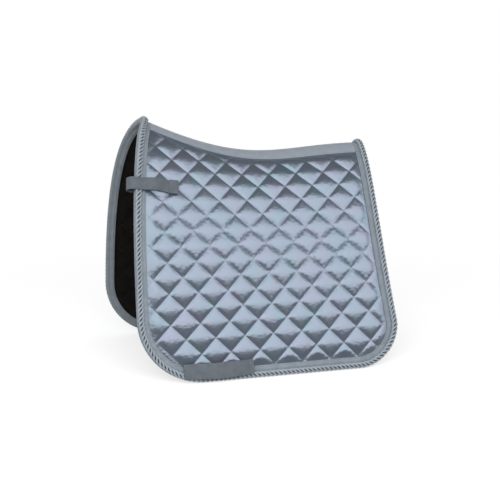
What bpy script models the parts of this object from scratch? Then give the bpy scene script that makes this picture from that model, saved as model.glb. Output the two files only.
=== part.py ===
"""Quilted dressage saddle pad, standing open on its two hems.

Metres, +Z up. -X is the front (pommel) end, -Y the left flap, and the hems stand on Z = 0.
Two quilted flaps hang from a narrow spine and fold along it. Each flap is cut flat, so its
pieces are laid out in a flat pattern (x along the hem, t up the cloth from the hem) and are
then draped over the pad's curved surface, at a height n above or below its middle.
"""
import math

import bmesh
import bpy
import numpy as np
from mathutils import Vector

# Spine: a curve in the plane of symmetry, high at the pommel and dipped behind it
SPINE_FRONT_X = -0.2305
SPINE_FRONT_HEIGHT = 0.534
SPINE_FRONT_SLOPE = math.radians(24.3)
SPINE_FRONT_REACH = 0.285
SPINE_REAR_X = 0.287
SPINE_REAR_HEIGHT = 0.4735
SPINE_REAR_REACH = 0.209
SPINE_HALF_GAP = 0.037

# Drape of a flap: a curve from the hem up to the ridge
HEM_HALF_SPREAD = 0.2185
HEM_LEAN = math.radians(8.5)
HEM_REACH = 0.171
HEM_SQUARE_HEIGHT = 0.030
RIDGE_FALL_FRONT = math.radians(19.0)
RIDGE_FALL_REAR = math.radians(22.5)
RIDGE_REACH_FRONT = 0.175
RIDGE_REACH_REAR = 0.110
DRAPE_OVERRUN = 0.2

# Cut of a flap
HEM_FRONT_X = -0.288
HEM_REAR_X = 0.293
FRONT_CORNER_RADIUS = 0.138
REAR_CORNER_RADIUS = 0.095
FRONT_EDGE_SWEEP = 0.049
FRONT_EDGE_TOP_REACH = 0.111
FRONT_EDGE_FOOT_REACH = 0.185
REAR_EDGE_HOLLOW = 0.013

# Quilting: diamonds sewn through every layer, and the layers themselves
DIAMOND_WIDTH = 0.0638
DIAMOND_HEIGHT = 0.0644
QUILT_CENTRE_X = 0.005
QUILT_CROSSING_HEIGHT = 0.0255
WADDING_HALF = 0.0038
WADDING_EDGE_HALF = 0.0010
WADDING_TAPER = 0.015
COVER_THICKNESS = 0.0010
SATIN_PUFF = 0.0060
LINING_PUFF = 0.0035
PUFF_CROWN_SHARE = 0.48
SMALLEST_PUFF = 0.003

# Trim round the front, hem and rear edges
BINDING_THICKNESS = 0.0010
BINDING_WIDTH = 0.024
BINDING_INNER_WIDTH = 0.020
ROPE_DIAMETER = 0.009
ROPE_INSET = 0.0075

# Spine tapes and the seam that joins the halves
SPINE_TAPE_LAP = 0.0005
SPINE_TAPE_THICKNESS = 0.0010
SPINE_SEAM_HALF_WIDTH = 0.003

# Girth strap: a webbing loop on the hem
WEBBING_THICKNESS = 0.0015
GIRTH_STRAP_FRONT_X = -0.1965
GIRTH_STRAP_LENGTH = 0.151
GIRTH_STRAP_WIDTH = 0.030
GIRTH_STRAP_HEM_GAP = 0.010
GIRTH_STRAP_BOW = 0.0125

# Billet strap: webbing round the left flap's front edge, closed on the lining by hook and loop
BILLET_STRAP_SIDE = "left"
BILLET_STRAP_HEIGHT = 0.418
BILLET_STRAP_WIDTH = 0.026
BILLET_STRAP_LENGTH = 0.0905
BILLET_STRAP_BOW = 0.007
BILLET_BEND_LEAD = 0.002
BILLET_TAB_LENGTH = 0.066
BILLET_PATCH_LENGTH = 0.022
HOOK_PATCH_START = 0.030
HOOK_PATCH_LENGTH = 0.030
HOOK_PATCH_WIDTH = 0.022
HOOK_PATCH_THICKNESS = 0.0015

# Fold axis of the flaps, below the line between the two ends of the spine
FOLD_AXIS_DROP = 0.016

# Clearances
GAP = 0.0003
SEWN_GAP = 0.0008
SEAM_MARGIN = 0.001
ROPE_END_GAP = 0.0008
CHORD_TOLERANCE = 0.00025
ROPE_CHORD_TOLERANCE = 0.0005

# Heights above the middle of the cloth, worked out from the layers
BAND_TOP = WADDING_EDGE_HALF + GAP + COVER_THICKNESS
FIELD_TOP = WADDING_HALF + GAP + COVER_THICKNESS
BINDING_MIDDLE = BAND_TOP + SEWN_GAP + BINDING_THICKNESS / 2
BINDING_TOP = BINDING_MIDDLE + BINDING_THICKNESS / 2
ROPE_CENTRE = BINDING_TOP + SEWN_GAP + ROPE_DIAMETER / 2
STRAP_UNDERSIDE = max(ROPE_CENTRE + ROPE_DIAMETER / 2, FIELD_TOP + SATIN_PUFF + WEBBING_THICKNESS) + GAP
STRAP_MIDDLE = STRAP_UNDERSIDE + WEBBING_THICKNESS / 2
LOOP_PATCH_MIDDLE = -(FIELD_TOP + LINING_PUFF + GAP + HOOK_PATCH_THICKNESS / 2)
HOOK_PATCH_MIDDLE = LOOP_PATCH_MIDDLE - HOOK_PATCH_THICKNESS - GAP
TAB_MIDDLE = HOOK_PATCH_MIDDLE - HOOK_PATCH_THICKNESS / 2 - GAP - WEBBING_THICKNESS / 2
SPINE_TAPE_MIDDLE = BAND_TOP + SEWN_GAP + SPINE_TAPE_THICKNESS / 2
SPINE_SEAM_HALF = SPINE_TAPE_MIDDLE - SPINE_TAPE_THICKNESS / 2 - SEWN_GAP
PANEL_INSET = BINDING_THICKNESS + GAP
SEAM_INSET = BINDING_WIDTH + SEAM_MARGIN

# Points on curves and strips
CURVE_SAMPLES = 240
FINE_SAMPLES = 960
SECTION_SAMPLES = 96
PEAK_POINTS = 4
BILLET_RUN_POINTS = 9
BILLET_BEND_POINTS = 9
BILLET_TAB_POINTS = 6
HOOK_PATCH_POINTS = 3
GIRTH_STRAP_POINTS = 13
SMALL_STEP = 0.0005

FIELD = 0
BAND = 1
LEFT = -1
RIGHT = 1
SIDES = {"left": LEFT, "right": RIGHT}


def bezier(start, start_handle, end_handle, end, u):
    """Points of a cubic Bezier curve at the parameters u."""
    u = np.asarray(u)[..., None]
    v = 1 - u
    return v**3 * start + 3 * v * v * u * start_handle + 3 * v * u * u * end_handle + u**3 * end


def smoothstep(u):
    u = np.clip(u, 0, 1)
    return u * u * (3 - 2 * u)


def spine_curve():
    """Dense points (x, z) of the ridge, from the pommel to the cantle."""
    front = np.array([SPINE_FRONT_X, SPINE_FRONT_HEIGHT])
    rear = np.array([SPINE_REAR_X, SPINE_REAR_HEIGHT])
    slope = np.array([math.cos(SPINE_FRONT_SLOPE), -math.sin(SPINE_FRONT_SLOPE)])
    level = np.array([-1.0, 0.0])
    u = np.linspace(0, 1, CURVE_SAMPLES)
    return bezier(front, front + SPINE_FRONT_REACH * slope, rear + SPINE_REAR_REACH * level, rear, u)


SPINE = spine_curve()


def ridge_height(x):
    """Height of the ridge at x, carried on straight past the spine's ends."""
    z = np.interp(x, SPINE[:, 0], SPINE[:, 1])
    front_slope = (SPINE[1, 1] - SPINE[0, 1]) / (SPINE[1, 0] - SPINE[0, 0])
    return z + np.minimum(x - SPINE_FRONT_X, 0) * front_slope


def sections(x):
    """Cross-sections at each x: points (y, z) from hem to ridge, and their lengths up the cloth."""
    x = np.asarray(x, dtype=float)
    along = np.clip((x - SPINE_FRONT_X) / (SPINE_REAR_X - SPINE_FRONT_X), -DRAPE_OVERRUN, 1 + DRAPE_OVERRUN)
    fall = RIDGE_FALL_FRONT + (RIDGE_FALL_REAR - RIDGE_FALL_FRONT) * along
    reach = RIDGE_REACH_FRONT + (RIDGE_REACH_REAR - RIDGE_REACH_FRONT) * along
    nothing = np.zeros_like(x)
    hem = np.stack([nothing + HEM_HALF_SPREAD, nothing], -1)[:, None]
    ridge = np.stack([nothing, ridge_height(x)], -1)[:, None]
    hem_handle = hem + HEM_REACH * np.array([-math.sin(HEM_LEAN), math.cos(HEM_LEAN)])
    ridge_handle = ridge + (reach[:, None] * np.stack([np.cos(fall), -np.sin(fall)], -1))[:, None]
    points = bezier(hem, hem_handle, ridge_handle, ridge, np.linspace(0, 1, SECTION_SAMPLES)[None])
    steps = np.linalg.norm(np.diff(points, axis=1), axis=2)
    lengths = np.concatenate([nothing[:, None], np.cumsum(steps, axis=1)], axis=1)
    return points, lengths


def cloth_length(x):
    """Length of the cloth from hem to ridge at each x."""
    return sections(np.atleast_1d(x))[1][:, -1]


def surface(x, t):
    """Points of the right flap's middle surface for pattern points (x, t)."""
    points, lengths = sections(x)
    rows = np.arange(len(x))
    low = np.clip((lengths <= t[:, None]).sum(axis=1) - 1, 0, SECTION_SAMPLES - 2)
    span = lengths[rows, low + 1] - lengths[rows, low]
    share = ((t - lengths[rows, low]) / span)[:, None]
    yz = points[rows, low] * (1 - share) + points[rows, low + 1] * share
    return np.column_stack([x, yz])


def drape(x, t, n, side):
    """World points for pattern points (x, t) at height n, on one side of the pad."""
    x, t, n = (np.array(a, dtype=float) for a in np.broadcast_arrays(x, t, n))
    ridge_t = cloth_length(x)
    inner_t = np.clip(t, SMALL_STEP, ridge_t - SMALL_STEP)
    along_x = surface(x + SMALL_STEP, inner_t) - surface(x - SMALL_STEP, inner_t)
    up_cloth = surface(x, inner_t + SMALL_STEP) - surface(x, inner_t - SMALL_STEP)
    normal = np.cross(up_cloth, along_x)
    normal /= np.linalg.norm(normal, axis=1)[:, None]
    # At the hem the layers end square to the ground, and on the ridge both sides meet in a mitre.
    normal[:, 2] *= smoothstep(t / HEM_SQUARE_HEIGHT)
    on_ridge = ridge_t - t < SMALL_STEP
    normal[on_ridge, 1] = 0
    normal[on_ridge] /= (normal[on_ridge] ** 2).sum(axis=1)[:, None]
    place = surface(x, np.minimum(t, ridge_t)) + normal * n[:, None]
    place[:, 1] *= side
    return place


def edge_curve():
    """Dense pattern points of a flap's free edge: front ridge, front edge, hem, rear edge, rear ridge."""
    front_top = np.array([SPINE_FRONT_X, cloth_length(SPINE_FRONT_X)[0]])
    rear_top = np.array([SPINE_REAR_X, cloth_length(SPINE_REAR_X)[0]])
    front_foot = np.array([HEM_FRONT_X, FRONT_CORNER_RADIUS])
    rear_foot = np.array([HEM_REAR_X, REAR_CORNER_RADIUS])
    u = np.linspace(0, 1, CURVE_SAMPLES)
    front = bezier(front_top, front_top - [FRONT_EDGE_SWEEP, FRONT_EDGE_TOP_REACH],
                   front_foot + [0, FRONT_EDGE_FOOT_REACH], front_foot, u)
    quarter = u * math.pi / 2
    front_corner = front_foot + FRONT_CORNER_RADIUS * np.column_stack([1 - np.cos(quarter), -np.sin(quarter)])
    rear_corner = rear_foot + REAR_CORNER_RADIUS * np.column_stack([np.sin(quarter) - 1, -np.cos(quarter)])
    hollow = np.column_stack([-4 * REAR_EDGE_HOLLOW * u * (1 - u), 0 * u])
    rear = rear_foot + (rear_top - rear_foot) * u[:, None] + hollow
    hem = front_corner[-1] + (rear_corner[0] - front_corner[-1]) * u[:, None]
    return np.concatenate([front, front_corner[1:], hem[1:], rear_corner[1:], rear[1:]])


class EdgePath:
    """The free edge of a flap as a path: s runs along it and d inwards from it, in the pattern."""

    def __init__(self):
        self.points = edge_curve()
        steps = np.linalg.norm(np.diff(self.points, axis=0), axis=1)
        self.s = np.concatenate([[0], np.cumsum(steps)])
        tangent = np.gradient(self.points, self.s, axis=0)
        tangent /= np.linalg.norm(tangent, axis=1)[:, None]
        self.inward = np.column_stack([-tangent[:, 1], tangent[:, 0]])
        self.end = self.s[-1]
        front_half = slice(0, int(np.argmin(self.points[:, 1])))
        self.front_heights = self.points[front_half, 1][::-1]
        self.front_lengths = self.s[front_half][::-1]

    def at(self, s, d):
        """Pattern points at s along the edge and d inwards from it."""
        s, d = np.broadcast_arrays(np.asarray(s, dtype=float), d)
        columns = [np.interp(s, self.s, self.points[:, k]) + d * np.interp(s, self.s, self.inward[:, k])
                   for k in (0, 1)]
        return np.stack(columns, -1)

    def below_ridge(self, d, r):
        """First and last s where the line d inwards from the edge lies r below the ridge."""
        x, t = self.at(self.s, d).T
        depth = cloth_length(x) - t - r
        below = np.flatnonzero(depth > 0)
        front = slice(below[0] - 1, below[0] + 1)
        rear = slice(below[-1], below[-1] + 2)
        first = np.interp(0, depth[front], self.s[front])
        last = np.interp(0, depth[rear][::-1], self.s[rear][::-1])
        return float(first), float(last)

    def at_height(self, t):
        """Length along the front edge where it stands t up the cloth."""
        return float(np.interp(t, self.front_heights, self.front_lengths))


EDGE = EdgePath()


def chord_stations(curve, low, high, tolerance=CHORD_TOLERANCE):
    """Lengths between low and high whose straight chords stay close to the curve."""
    fine = np.linspace(low, high, FINE_SAMPLES)
    points = curve(fine)
    stations = [0]
    for k in range(2, len(fine)):
        first = points[stations[-1]]
        chord = points[k] - first
        inside = points[stations[-1] + 1:k] - first
        along = np.clip(inside @ chord / (chord @ chord), 0, 1)
        miss = np.linalg.norm(inside - along[:, None] * chord, axis=1).max()
        if miss > tolerance:
            stations.append(k - 1)
    stations.append(len(fine) - 1)
    return fine[stations]


def flap_edge(s):
    return drape(*EDGE.at(s, 0).T, 0, RIGHT)


def spine_edge(x):
    return drape(x, cloth_length(x) - SPINE_HALF_GAP, 0, RIGHT)


FLAP_FRONT, FLAP_REAR = EDGE.below_ridge(0, SPINE_HALF_GAP)
EDGE_STATIONS = chord_stations(flap_edge, FLAP_FRONT, FLAP_REAR)
ROPE_STATIONS = chord_stations(flap_edge, FLAP_FRONT, FLAP_REAR, ROPE_CHORD_TOLERANCE)


def flap_points(s, d, end_gap=0.0):
    """Pattern points beside the flap's free edge, ending on the flap's top edge or a gap short of it."""
    first, last = EDGE.below_ridge(d, SPINE_HALF_GAP + end_gap)
    s = np.clip(s, first, last)
    s[0] = first
    s[-1] = last
    return EDGE.at(s, d)


def distance_to_edge(x, t):
    """Least distance, in the pattern, from points to the flap's binding seam or top edge."""
    free = EDGE.points
    gaps = np.hypot(x[:, None] - free[:, 0], t[:, None] - free[:, 1]).min(axis=1) - SEAM_INSET
    top = cloth_length(x) - SPINE_HALF_GAP - t
    return np.maximum(np.minimum(gaps, top), 0)


def wadding_half(x, t):
    """Half the wadding's thickness: full in the quilted field, thin where it is sewn at the edges."""
    full = smoothstep(distance_to_edge(x, t) / WADDING_TAPER)
    return WADDING_EDGE_HALF + (WADDING_HALF - WADDING_EDGE_HALF) * full


def flap_pattern():
    """Flat flap in triangles: a border band and a field cut along the quilting seams.

    Edges that only split a seam-bounded face into triangles carry 1 in the layer "inside_puff".
    """
    bm = bmesh.new()
    rings = []
    for inset in (PANEL_INSET, SEAM_INSET):
        rings.append([bm.verts.new((x, t, 0)) for x, t in flap_points(EDGE_STATIONS, inset)])
    outer, seam = rings
    for k in range(len(outer) - 1):
        bm.faces.new([outer[k], outer[k + 1], seam[k + 1], seam[k]]).material_index = BAND
    top_x = chord_stations(spine_edge, seam[0].co.x, seam[-1].co.x)[1:-1]
    top = [bm.verts.new((x, t, 0)) for x, t in zip(top_x, cloth_length(top_x) - SPINE_HALF_GAP)]
    bm.faces.new(seam + top[::-1]).material_index = FIELD

    cut_field_into_diamonds(bm)
    bmesh.ops.recalc_face_normals(bm, faces=bm.faces)
    if next(iter(bm.faces)).normal.z < 0:
        bmesh.ops.reverse_faces(bm, faces=bm.faces)
    inside_puff = bm.edges.layers.int.new("inside_puff")
    cut = bmesh.ops.triangulate(bm, faces=bm.faces, quad_method="SHORT_EDGE", ngon_method="BEAUTY")
    for edge in cut["edges"]:
        edge[inside_puff] = 1
    return bm


def cut_field_into_diamonds(bm):
    """Cut the flat flap along both sets of slanting quilting seams."""
    reach = int(2 * (HEM_REAR_X - HEM_FRONT_X + EDGE.points[:, 1].max()) / DIAMOND_WIDTH)
    for lean in (1, -1):
        across = Vector((1 / DIAMOND_WIDTH, lean / DIAMOND_HEIGHT, 0)).normalized()
        for k in range(-reach, reach):
            start = (QUILT_CENTRE_X + k * DIAMOND_WIDTH, QUILT_CROSSING_HEIGHT, 0)
            field = [face for face in bm.faces if face.material_index == FIELD]
            edges = {edge for face in field for edge in face.edges}
            verts = {vert for face in field for vert in face.verts}
            bmesh.ops.bisect_plane(bm, geom=[*verts, *edges, *field], dist=SMALL_STEP,
                                   plane_co=start, plane_no=across)


def inner_radius(face):
    return 2 * face.calc_area() / face.calc_perimeter()


def flap_layer(pattern, floor, ceiling, puff, crowned):
    """One layer of a flap as a closed solid in the pattern, z being the height n.

    floor and ceiling give the layer's faces at (x, t). Each seam-bounded face of the ceiling
    then rises by puff, to a flat crown where crowned is set and to a point where it is not.
    """
    bm = pattern.copy()
    below = bm.faces[:]
    raised = bmesh.ops.extrude_face_region(bm, geom=below, use_keep_orig=True)["geom"]
    top_verts = [v for v in raised if isinstance(v, bmesh.types.BMVert)]
    top_faces = [f for f in raised if isinstance(f, bmesh.types.BMFace)]
    for verts, height in ((set(bm.verts) - set(top_verts), floor), (top_verts, ceiling)):
        verts = list(verts)
        n = height(*np.array([v.co[:2] for v in verts]).T)
        for vert, z in zip(verts, n):
            vert.co.z = z
    if puff:
        raise_puffs(bm, top_faces, ceiling, puff, crowned)
    for face in bm.faces:
        face.material_index = 0
    return bm


def raise_puffs(bm, top_faces, ceiling, puff, crowned):
    """Swell each face between the seams, the small ones at the edges in proportion."""
    inside_puff = bm.edges.layers.int["inside_puff"]
    top = set(top_faces)
    others = set(bm.faces) - top
    splits = {edge for face in top for edge in face.edges if edge[inside_puff]}
    bmesh.ops.dissolve_edges(bm, edges=list(splits))
    pieces = [face for face in bm.faces if face not in others and face.material_index == FIELD]
    whole_radius = DIAMOND_WIDTH * DIAMOND_HEIGHT / (2 * math.hypot(DIAMOND_WIDTH, DIAMOND_HEIGHT))
    for face in pieces:
        radius = inner_radius(face)
        if radius < SMALLEST_PUFF:
            continue
        if crowned:
            bmesh.ops.inset_individual(bm, faces=[face], thickness=PUFF_CROWN_SHARE * radius,
                                       use_even_offset=True)
            crown = face.verts[:]
        else:
            crown = bmesh.ops.poke(bm, faces=[face])["verts"]
        x, t = np.array([vert.co[:2] for vert in crown]).T
        rise = puff * min(radius / whole_radius, 1)
        for vert, seam_height in zip(crown, ceiling(x, t)):
            vert.co.z = seam_height + rise


def drape_mesh(bm, side):
    """Lay a solid made in the pattern over one side of the pad."""
    x, t, n = np.array([v.co for v in bm.verts]).T
    for vert, place in zip(bm.verts, drape(x, t, n, side)):
        vert.co = place
    bmesh.ops.recalc_face_normals(bm, faces=bm.faces)
    if bm.calc_volume(signed=True) < 0:
        bmesh.ops.reverse_faces(bm, faces=bm.faces)


def sheet_mesh(points):
    """Open sheet through a grid of world points."""
    rows, columns = points.shape[:2]
    bm = bmesh.new()
    bmesh.ops.create_grid(bm, x_segments=columns - 1, y_segments=rows - 1, size=0.5)
    for vert in bm.verts:
        column = round((vert.co.x + 0.5) * (columns - 1))
        row = round((vert.co.y + 0.5) * (rows - 1))
        vert.co = points[row, column]
    return bm


def paint(name, colour, roughness, sheen=0.0):
    """Cloth material of one colour."""
    material = bpy.data.materials.new(name)
    material.use_nodes = True
    shader = material.node_tree.nodes["Principled BSDF"]
    shader.inputs["Base Color"].default_value = (*colour, 1.0)
    shader.inputs["Roughness"].default_value = roughness
    shader.inputs["Metallic"].default_value = 0.0
    shader.inputs["Sheen Weight"].default_value = sheen
    material.diffuse_color = (*colour, 1.0)
    return material


def add_part(name, data, material, parent=None):
    """Put a finished mesh or curve in the pad's collection, under the body that carries it."""
    part = bpy.data.objects.new(name, data)
    part.data.materials.append(material)
    PAD.objects.link(part)
    if parent:
        part.parent = parent
        part.matrix_parent_inverse = parent.matrix_world.inverted()
    return part


def add_solid(name, bm, material, parent=None):
    """A closed solid from a finished bmesh."""
    mesh = bpy.data.meshes.new(name)
    bm.to_mesh(mesh)
    bm.free()
    return add_part(name, mesh, material, parent)


def add_sheet(name, points, thickness, material, parent=None):
    """A flat strip of cloth through a grid of points, half its thickness on each side."""
    part = add_solid(name, sheet_mesh(points), material, parent)
    solidify = part.modifiers.new("thickness", "SOLIDIFY")
    solidify.thickness = thickness
    solidify.offset = 0
    solidify.use_even_offset = True
    return part


def add_rope(name, points, material, parent=None):
    """A plain round cord through world points, with closed ends."""
    curve = bpy.data.curves.new(name, "CURVE")
    curve.dimensions = "3D"
    curve.bevel_depth = ROPE_DIAMETER / 2
    curve.bevel_resolution = 2
    curve.use_fill_caps = True
    curve.render_resolution_u = 0
    spline = curve.splines.new("POLY")
    spline.points.add(len(points) - 1)
    for point, place in zip(spline.points, points):
        point.co = (*place, 1.0)
    return add_part(name, curve, material, parent)


def add_axis(name, place, parent=None):
    """An empty on a joint's axis, which carries the pieces that move with the joint."""
    empty = bpy.data.objects.new(name, None)
    PAD.objects.link(empty)
    empty.location = place
    if parent:
        empty.parent = parent
        empty.matrix_parent_inverse = parent.matrix_world.inverted()
    bpy.context.view_layer.update()
    return empty


def peak_points(ridge_s, d):
    """Pattern points beside the free edge, from the flap's top edge to the ridge."""
    first, last = EDGE.below_ridge(d, SPINE_HALF_GAP - GAP)
    s = np.linspace(first if ridge_s == 0 else last, ridge_s, PEAK_POINTS)
    points = EDGE.at(s, d)
    points[-1, 1] = cloth_length(points[-1, 0])[0]
    return points


BINDING_SECTION = (
    (BINDING_WIDTH, BINDING_MIDDLE),
    (BINDING_THICKNESS / 2, BINDING_MIDDLE),
    (BINDING_THICKNESS / 2, -BINDING_MIDDLE),
    (BINDING_INNER_WIDTH, -BINDING_MIDDLE),
)
ROPE_SECTION = ((ROPE_INSET, ROPE_CENTRE),)


def along_flap_edge(section, stations, side, end_gap=0.0):
    """World points of a trim section carried along a flap's free edge."""
    return np.stack([drape(*flap_points(stations, d, end_gap).T, n, side) for d, n in section], 1)


def over_peak(section, ridge_s):
    """World points of a trim section carried over the ridge from the left flap to the right."""
    columns = []
    for d, n in section:
        pattern = peak_points(ridge_s, d).T
        left = drape(*pattern, n, LEFT)
        right = drape(*pattern, n, RIGHT)[::-1]
        columns.append(np.concatenate([left, right[1:]]))
    return np.stack(columns, 1)


def spine_ends(r, inset):
    """x of the front and rear ends of a spine piece, r down from the ridge and inset from the edge."""
    s = np.linspace(0, 2 * FLAP_FRONT, CURVE_SAMPLES)
    ends = []
    for stations in (s, EDGE.end - s):
        x, t = EDGE.at(stations, inset).T
        ends.append(np.interp(np.abs(r), cloth_length(x) - t, x))
    return ends


def along_spine(offsets, n, inset):
    """World points of a strip along the ridge; offsets are its lengthwise lines, left to right."""
    shares = chord_stations(spine_edge, SPINE_FRONT_X, SPINE_REAR_X)
    shares = (shares - shares[0]) / (shares[-1] - shares[0])
    lines = []
    for r in offsets:
        front, rear = spine_ends(r, inset)
        x = front + (rear - front) * shares
        lines.append(drape(x, cloth_length(x) - abs(r), n, LEFT if r < 0 else RIGHT))
    return np.stack(lines, 0)


def strap_points(section, width, side):
    """World points of a strap square to the front edge; section lists (d inwards, height n)."""
    s = EDGE.at_height(BILLET_STRAP_HEIGHT)
    start = EDGE.at(s, 0)
    inward = EDGE.at(s, 1) - start
    along = np.array([-inward[1], inward[0]])
    d, n = np.array(section).T
    lines = []
    for v in (-width / 2, width / 2):
        x, t = (start + d[:, None] * inward + v * along).T
        lines.append(drape(x, t, n, side))
    return np.stack(lines, 1)


def billet_strap_section():
    """Outer run, bowed off the flap, and the bend round the front edge."""
    run_end = BILLET_STRAP_LENGTH - BILLET_PATCH_LENGTH
    rope_end = ROPE_INSET + ROPE_DIAMETER / 2
    run = [(BILLET_STRAP_LENGTH, STRAP_MIDDLE)]
    for share in np.linspace(1, 0, BILLET_RUN_POINTS):
        d = rope_end + (run_end - rope_end) * share
        run.append((d, STRAP_MIDDLE + BILLET_STRAP_BOW * math.sin(math.pi * share) ** 2))
    radius = (STRAP_MIDDLE - TAB_MIDDLE) / 2
    centre = (STRAP_MIDDLE + TAB_MIDDLE) / 2
    for angle in np.linspace(0, math.pi, BILLET_BEND_POINTS):
        run.append((-BILLET_BEND_LEAD - radius * math.sin(angle), centre + radius * math.cos(angle)))
    return run


def girth_strap_points(side):
    """World points of the girth strap, bowed off the hem between its sewn ends."""
    share = np.linspace(0, 1, GIRTH_STRAP_POINTS)
    x = GIRTH_STRAP_FRONT_X + GIRTH_STRAP_LENGTH * share
    n = STRAP_MIDDLE + GIRTH_STRAP_BOW * np.sin(math.pi * share) ** 2
    low = drape(x, GIRTH_STRAP_HEM_GAP, n, side)
    high = drape(x, GIRTH_STRAP_HEM_GAP + GIRTH_STRAP_WIDTH, n, side)
    return np.stack([low, high], 1)


def build_flap(name, side, fold):
    """All pieces of one flap, with its girth strap."""
    pattern = flap_pattern()

    def below_satin(x, t):
        return wadding_half(x, t) + GAP

    def satin_seams(x, t):
        return below_satin(x, t) + COVER_THICKNESS

    def above_lining(x, t):
        return -below_satin(x, t)

    def lining_seams(x, t):
        return -satin_seams(x, t)

    def under_wadding(x, t):
        return -wadding_half(x, t)

    layers = (
        ("outer_satin", below_satin, satin_seams, SATIN_PUFF, True, SATIN),
        ("wadding", under_wadding, wadding_half, 0, False, WADDING),
        ("lining", above_lining, lining_seams, -LINING_PUFF, False, LINING),
    )
    for layer, floor, ceiling, puff, crowned, cloth in layers:
        bm = flap_layer(pattern, floor, ceiling, puff, crowned)
        drape_mesh(bm, side)
        add_solid(f"{layer}_{name}", bm, cloth, fold)
    pattern.free()

    binding = along_flap_edge(BINDING_SECTION, EDGE_STATIONS, side)
    add_sheet(f"edge_binding_{name}", binding, BINDING_THICKNESS, BINDING, fold)
    rope = along_flap_edge(ROPE_SECTION, ROPE_STATIONS, side, ROPE_END_GAP)[:, 0]
    add_rope(f"rope_trim_{name}", rope, ROPE, fold)
    add_sheet(f"girth_strap_{name}", girth_strap_points(side), WEBBING_THICKNESS, WEBBING, fold)


def build_billet_strap(name, side, fold, strap_fold):
    """The strap round a flap's front edge, the patch under its sewn end, and its hook-and-loop tab."""
    outer_run = strap_points(billet_strap_section(), BILLET_STRAP_WIDTH, side)
    add_sheet(f"billet_strap_{name}", outer_run, WEBBING_THICKNESS, WEBBING, fold)
    patch_thickness = STRAP_UNDERSIDE - FIELD_TOP - SATIN_PUFF - 2 * GAP
    patch_middle = STRAP_UNDERSIDE - GAP - patch_thickness / 2
    patch_d = (BILLET_STRAP_LENGTH - BILLET_PATCH_LENGTH, BILLET_STRAP_LENGTH)
    patch = strap_points([(d, patch_middle) for d in patch_d], BILLET_STRAP_WIDTH, side)
    add_sheet(f"strap_end_patch_{name}", patch, patch_thickness, WEBBING, fold)
    hook_d = np.linspace(HOOK_PATCH_START, HOOK_PATCH_START + HOOK_PATCH_LENGTH, HOOK_PATCH_POINTS)
    loops = strap_points([(d, LOOP_PATCH_MIDDLE) for d in hook_d], HOOK_PATCH_WIDTH, side)
    add_sheet(f"loop_patch_{name}", loops, HOOK_PATCH_THICKNESS, HOOK_AND_LOOP, fold)
    hooks = strap_points([(d, HOOK_PATCH_MIDDLE) for d in hook_d], HOOK_PATCH_WIDTH, side)
    add_sheet(f"hook_patch_{name}", hooks, HOOK_PATCH_THICKNESS, HOOK_AND_LOOP, strap_fold)
    tab_d = np.linspace(GAP - BILLET_BEND_LEAD, BILLET_TAB_LENGTH, BILLET_TAB_POINTS)
    tab = strap_points([(d, TAB_MIDDLE) for d in tab_d], BILLET_STRAP_WIDTH, side)
    add_sheet(f"billet_strap_tab_{name}", tab, WEBBING_THICKNESS, WEBBING, strap_fold)


def build_spine():
    """The seam along the ridge, its two tapes, and the trim that crosses it at both ends."""
    half = SPINE_HALF_GAP + SPINE_TAPE_LAP
    tape_lines = (-half, -half / 2, 0, half / 2, half)
    for name, n in (("spine_tape", SPINE_TAPE_MIDDLE), ("spine_lining_tape", -SPINE_TAPE_MIDDLE)):
        tape = along_spine(tape_lines, n, SEAM_INSET)
        add_sheet(name, tape, SPINE_TAPE_THICKNESS, TAPE if n > 0 else BINDING)
    seam = along_spine((-SPINE_SEAM_HALF_WIDTH, 0, SPINE_SEAM_HALF_WIDTH), 0, PANEL_INSET)
    add_sheet("spine_seam", seam, 2 * SPINE_SEAM_HALF, WADDING)
    for name, ridge_s in (("pommel", 0), ("cantle", EDGE.end)):
        add_sheet(f"{name}_binding", over_peak(BINDING_SECTION, ridge_s), BINDING_THICKNESS, BINDING)
        add_rope(f"{name}_rope", over_peak(ROPE_SECTION, ridge_s)[:, 0], ROPE)


def fold_axis_place(side):
    """Middle of a flap's fold axis: below the line between the spine's ends, over the flap's top edge."""
    ends = spine_edge(np.array([SPINE_FRONT_X, SPINE_REAR_X]))
    height = (SPINE_FRONT_HEIGHT + SPINE_REAR_HEIGHT) / 2 - FOLD_AXIS_DROP
    return Vector(((SPINE_FRONT_X + SPINE_REAR_X) / 2, side * ends[:, 1].mean(), height))


def strap_axis_ends(side):
    """Ends of a billet strap's fold axis, on the inner face where the bend meets the tab."""
    corner = (GAP / 2 - BILLET_BEND_LEAD, TAB_MIDDLE - WEBBING_THICKNESS / 2)
    return strap_points([corner], BILLET_STRAP_WIDTH, side)[0]


def strap_axis_place(side):
    """Middle of a billet strap's fold axis."""
    return Vector(strap_axis_ends(side).mean(axis=0))


for old in list(bpy.data.objects):
    bpy.data.objects.remove(old, do_unlink=True)
PAD = bpy.data.collections.new("saddle_pad")
bpy.context.scene.collection.children.link(PAD)

SATIN = paint("blue_grey_satin", (0.30, 0.36, 0.44), 0.38, sheen=0.3)
WADDING = paint("white_wadding", (0.80, 0.79, 0.76), 0.95)
LINING = paint("black_lining", (0.018, 0.016, 0.016), 0.85)
BINDING = paint("grey_binding", (0.27, 0.30, 0.33), 0.60)
ROPE = paint("grey_rope", (0.33, 0.38, 0.43), 0.45)
TAPE = paint("satin_tape", (0.38, 0.42, 0.47), 0.40, sheen=0.2)
WEBBING = paint("grey_webbing", (0.20, 0.23, 0.26), 0.70)
HOOK_AND_LOOP = paint("dark_hook_and_loop", (0.03, 0.03, 0.035), 0.90)

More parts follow.
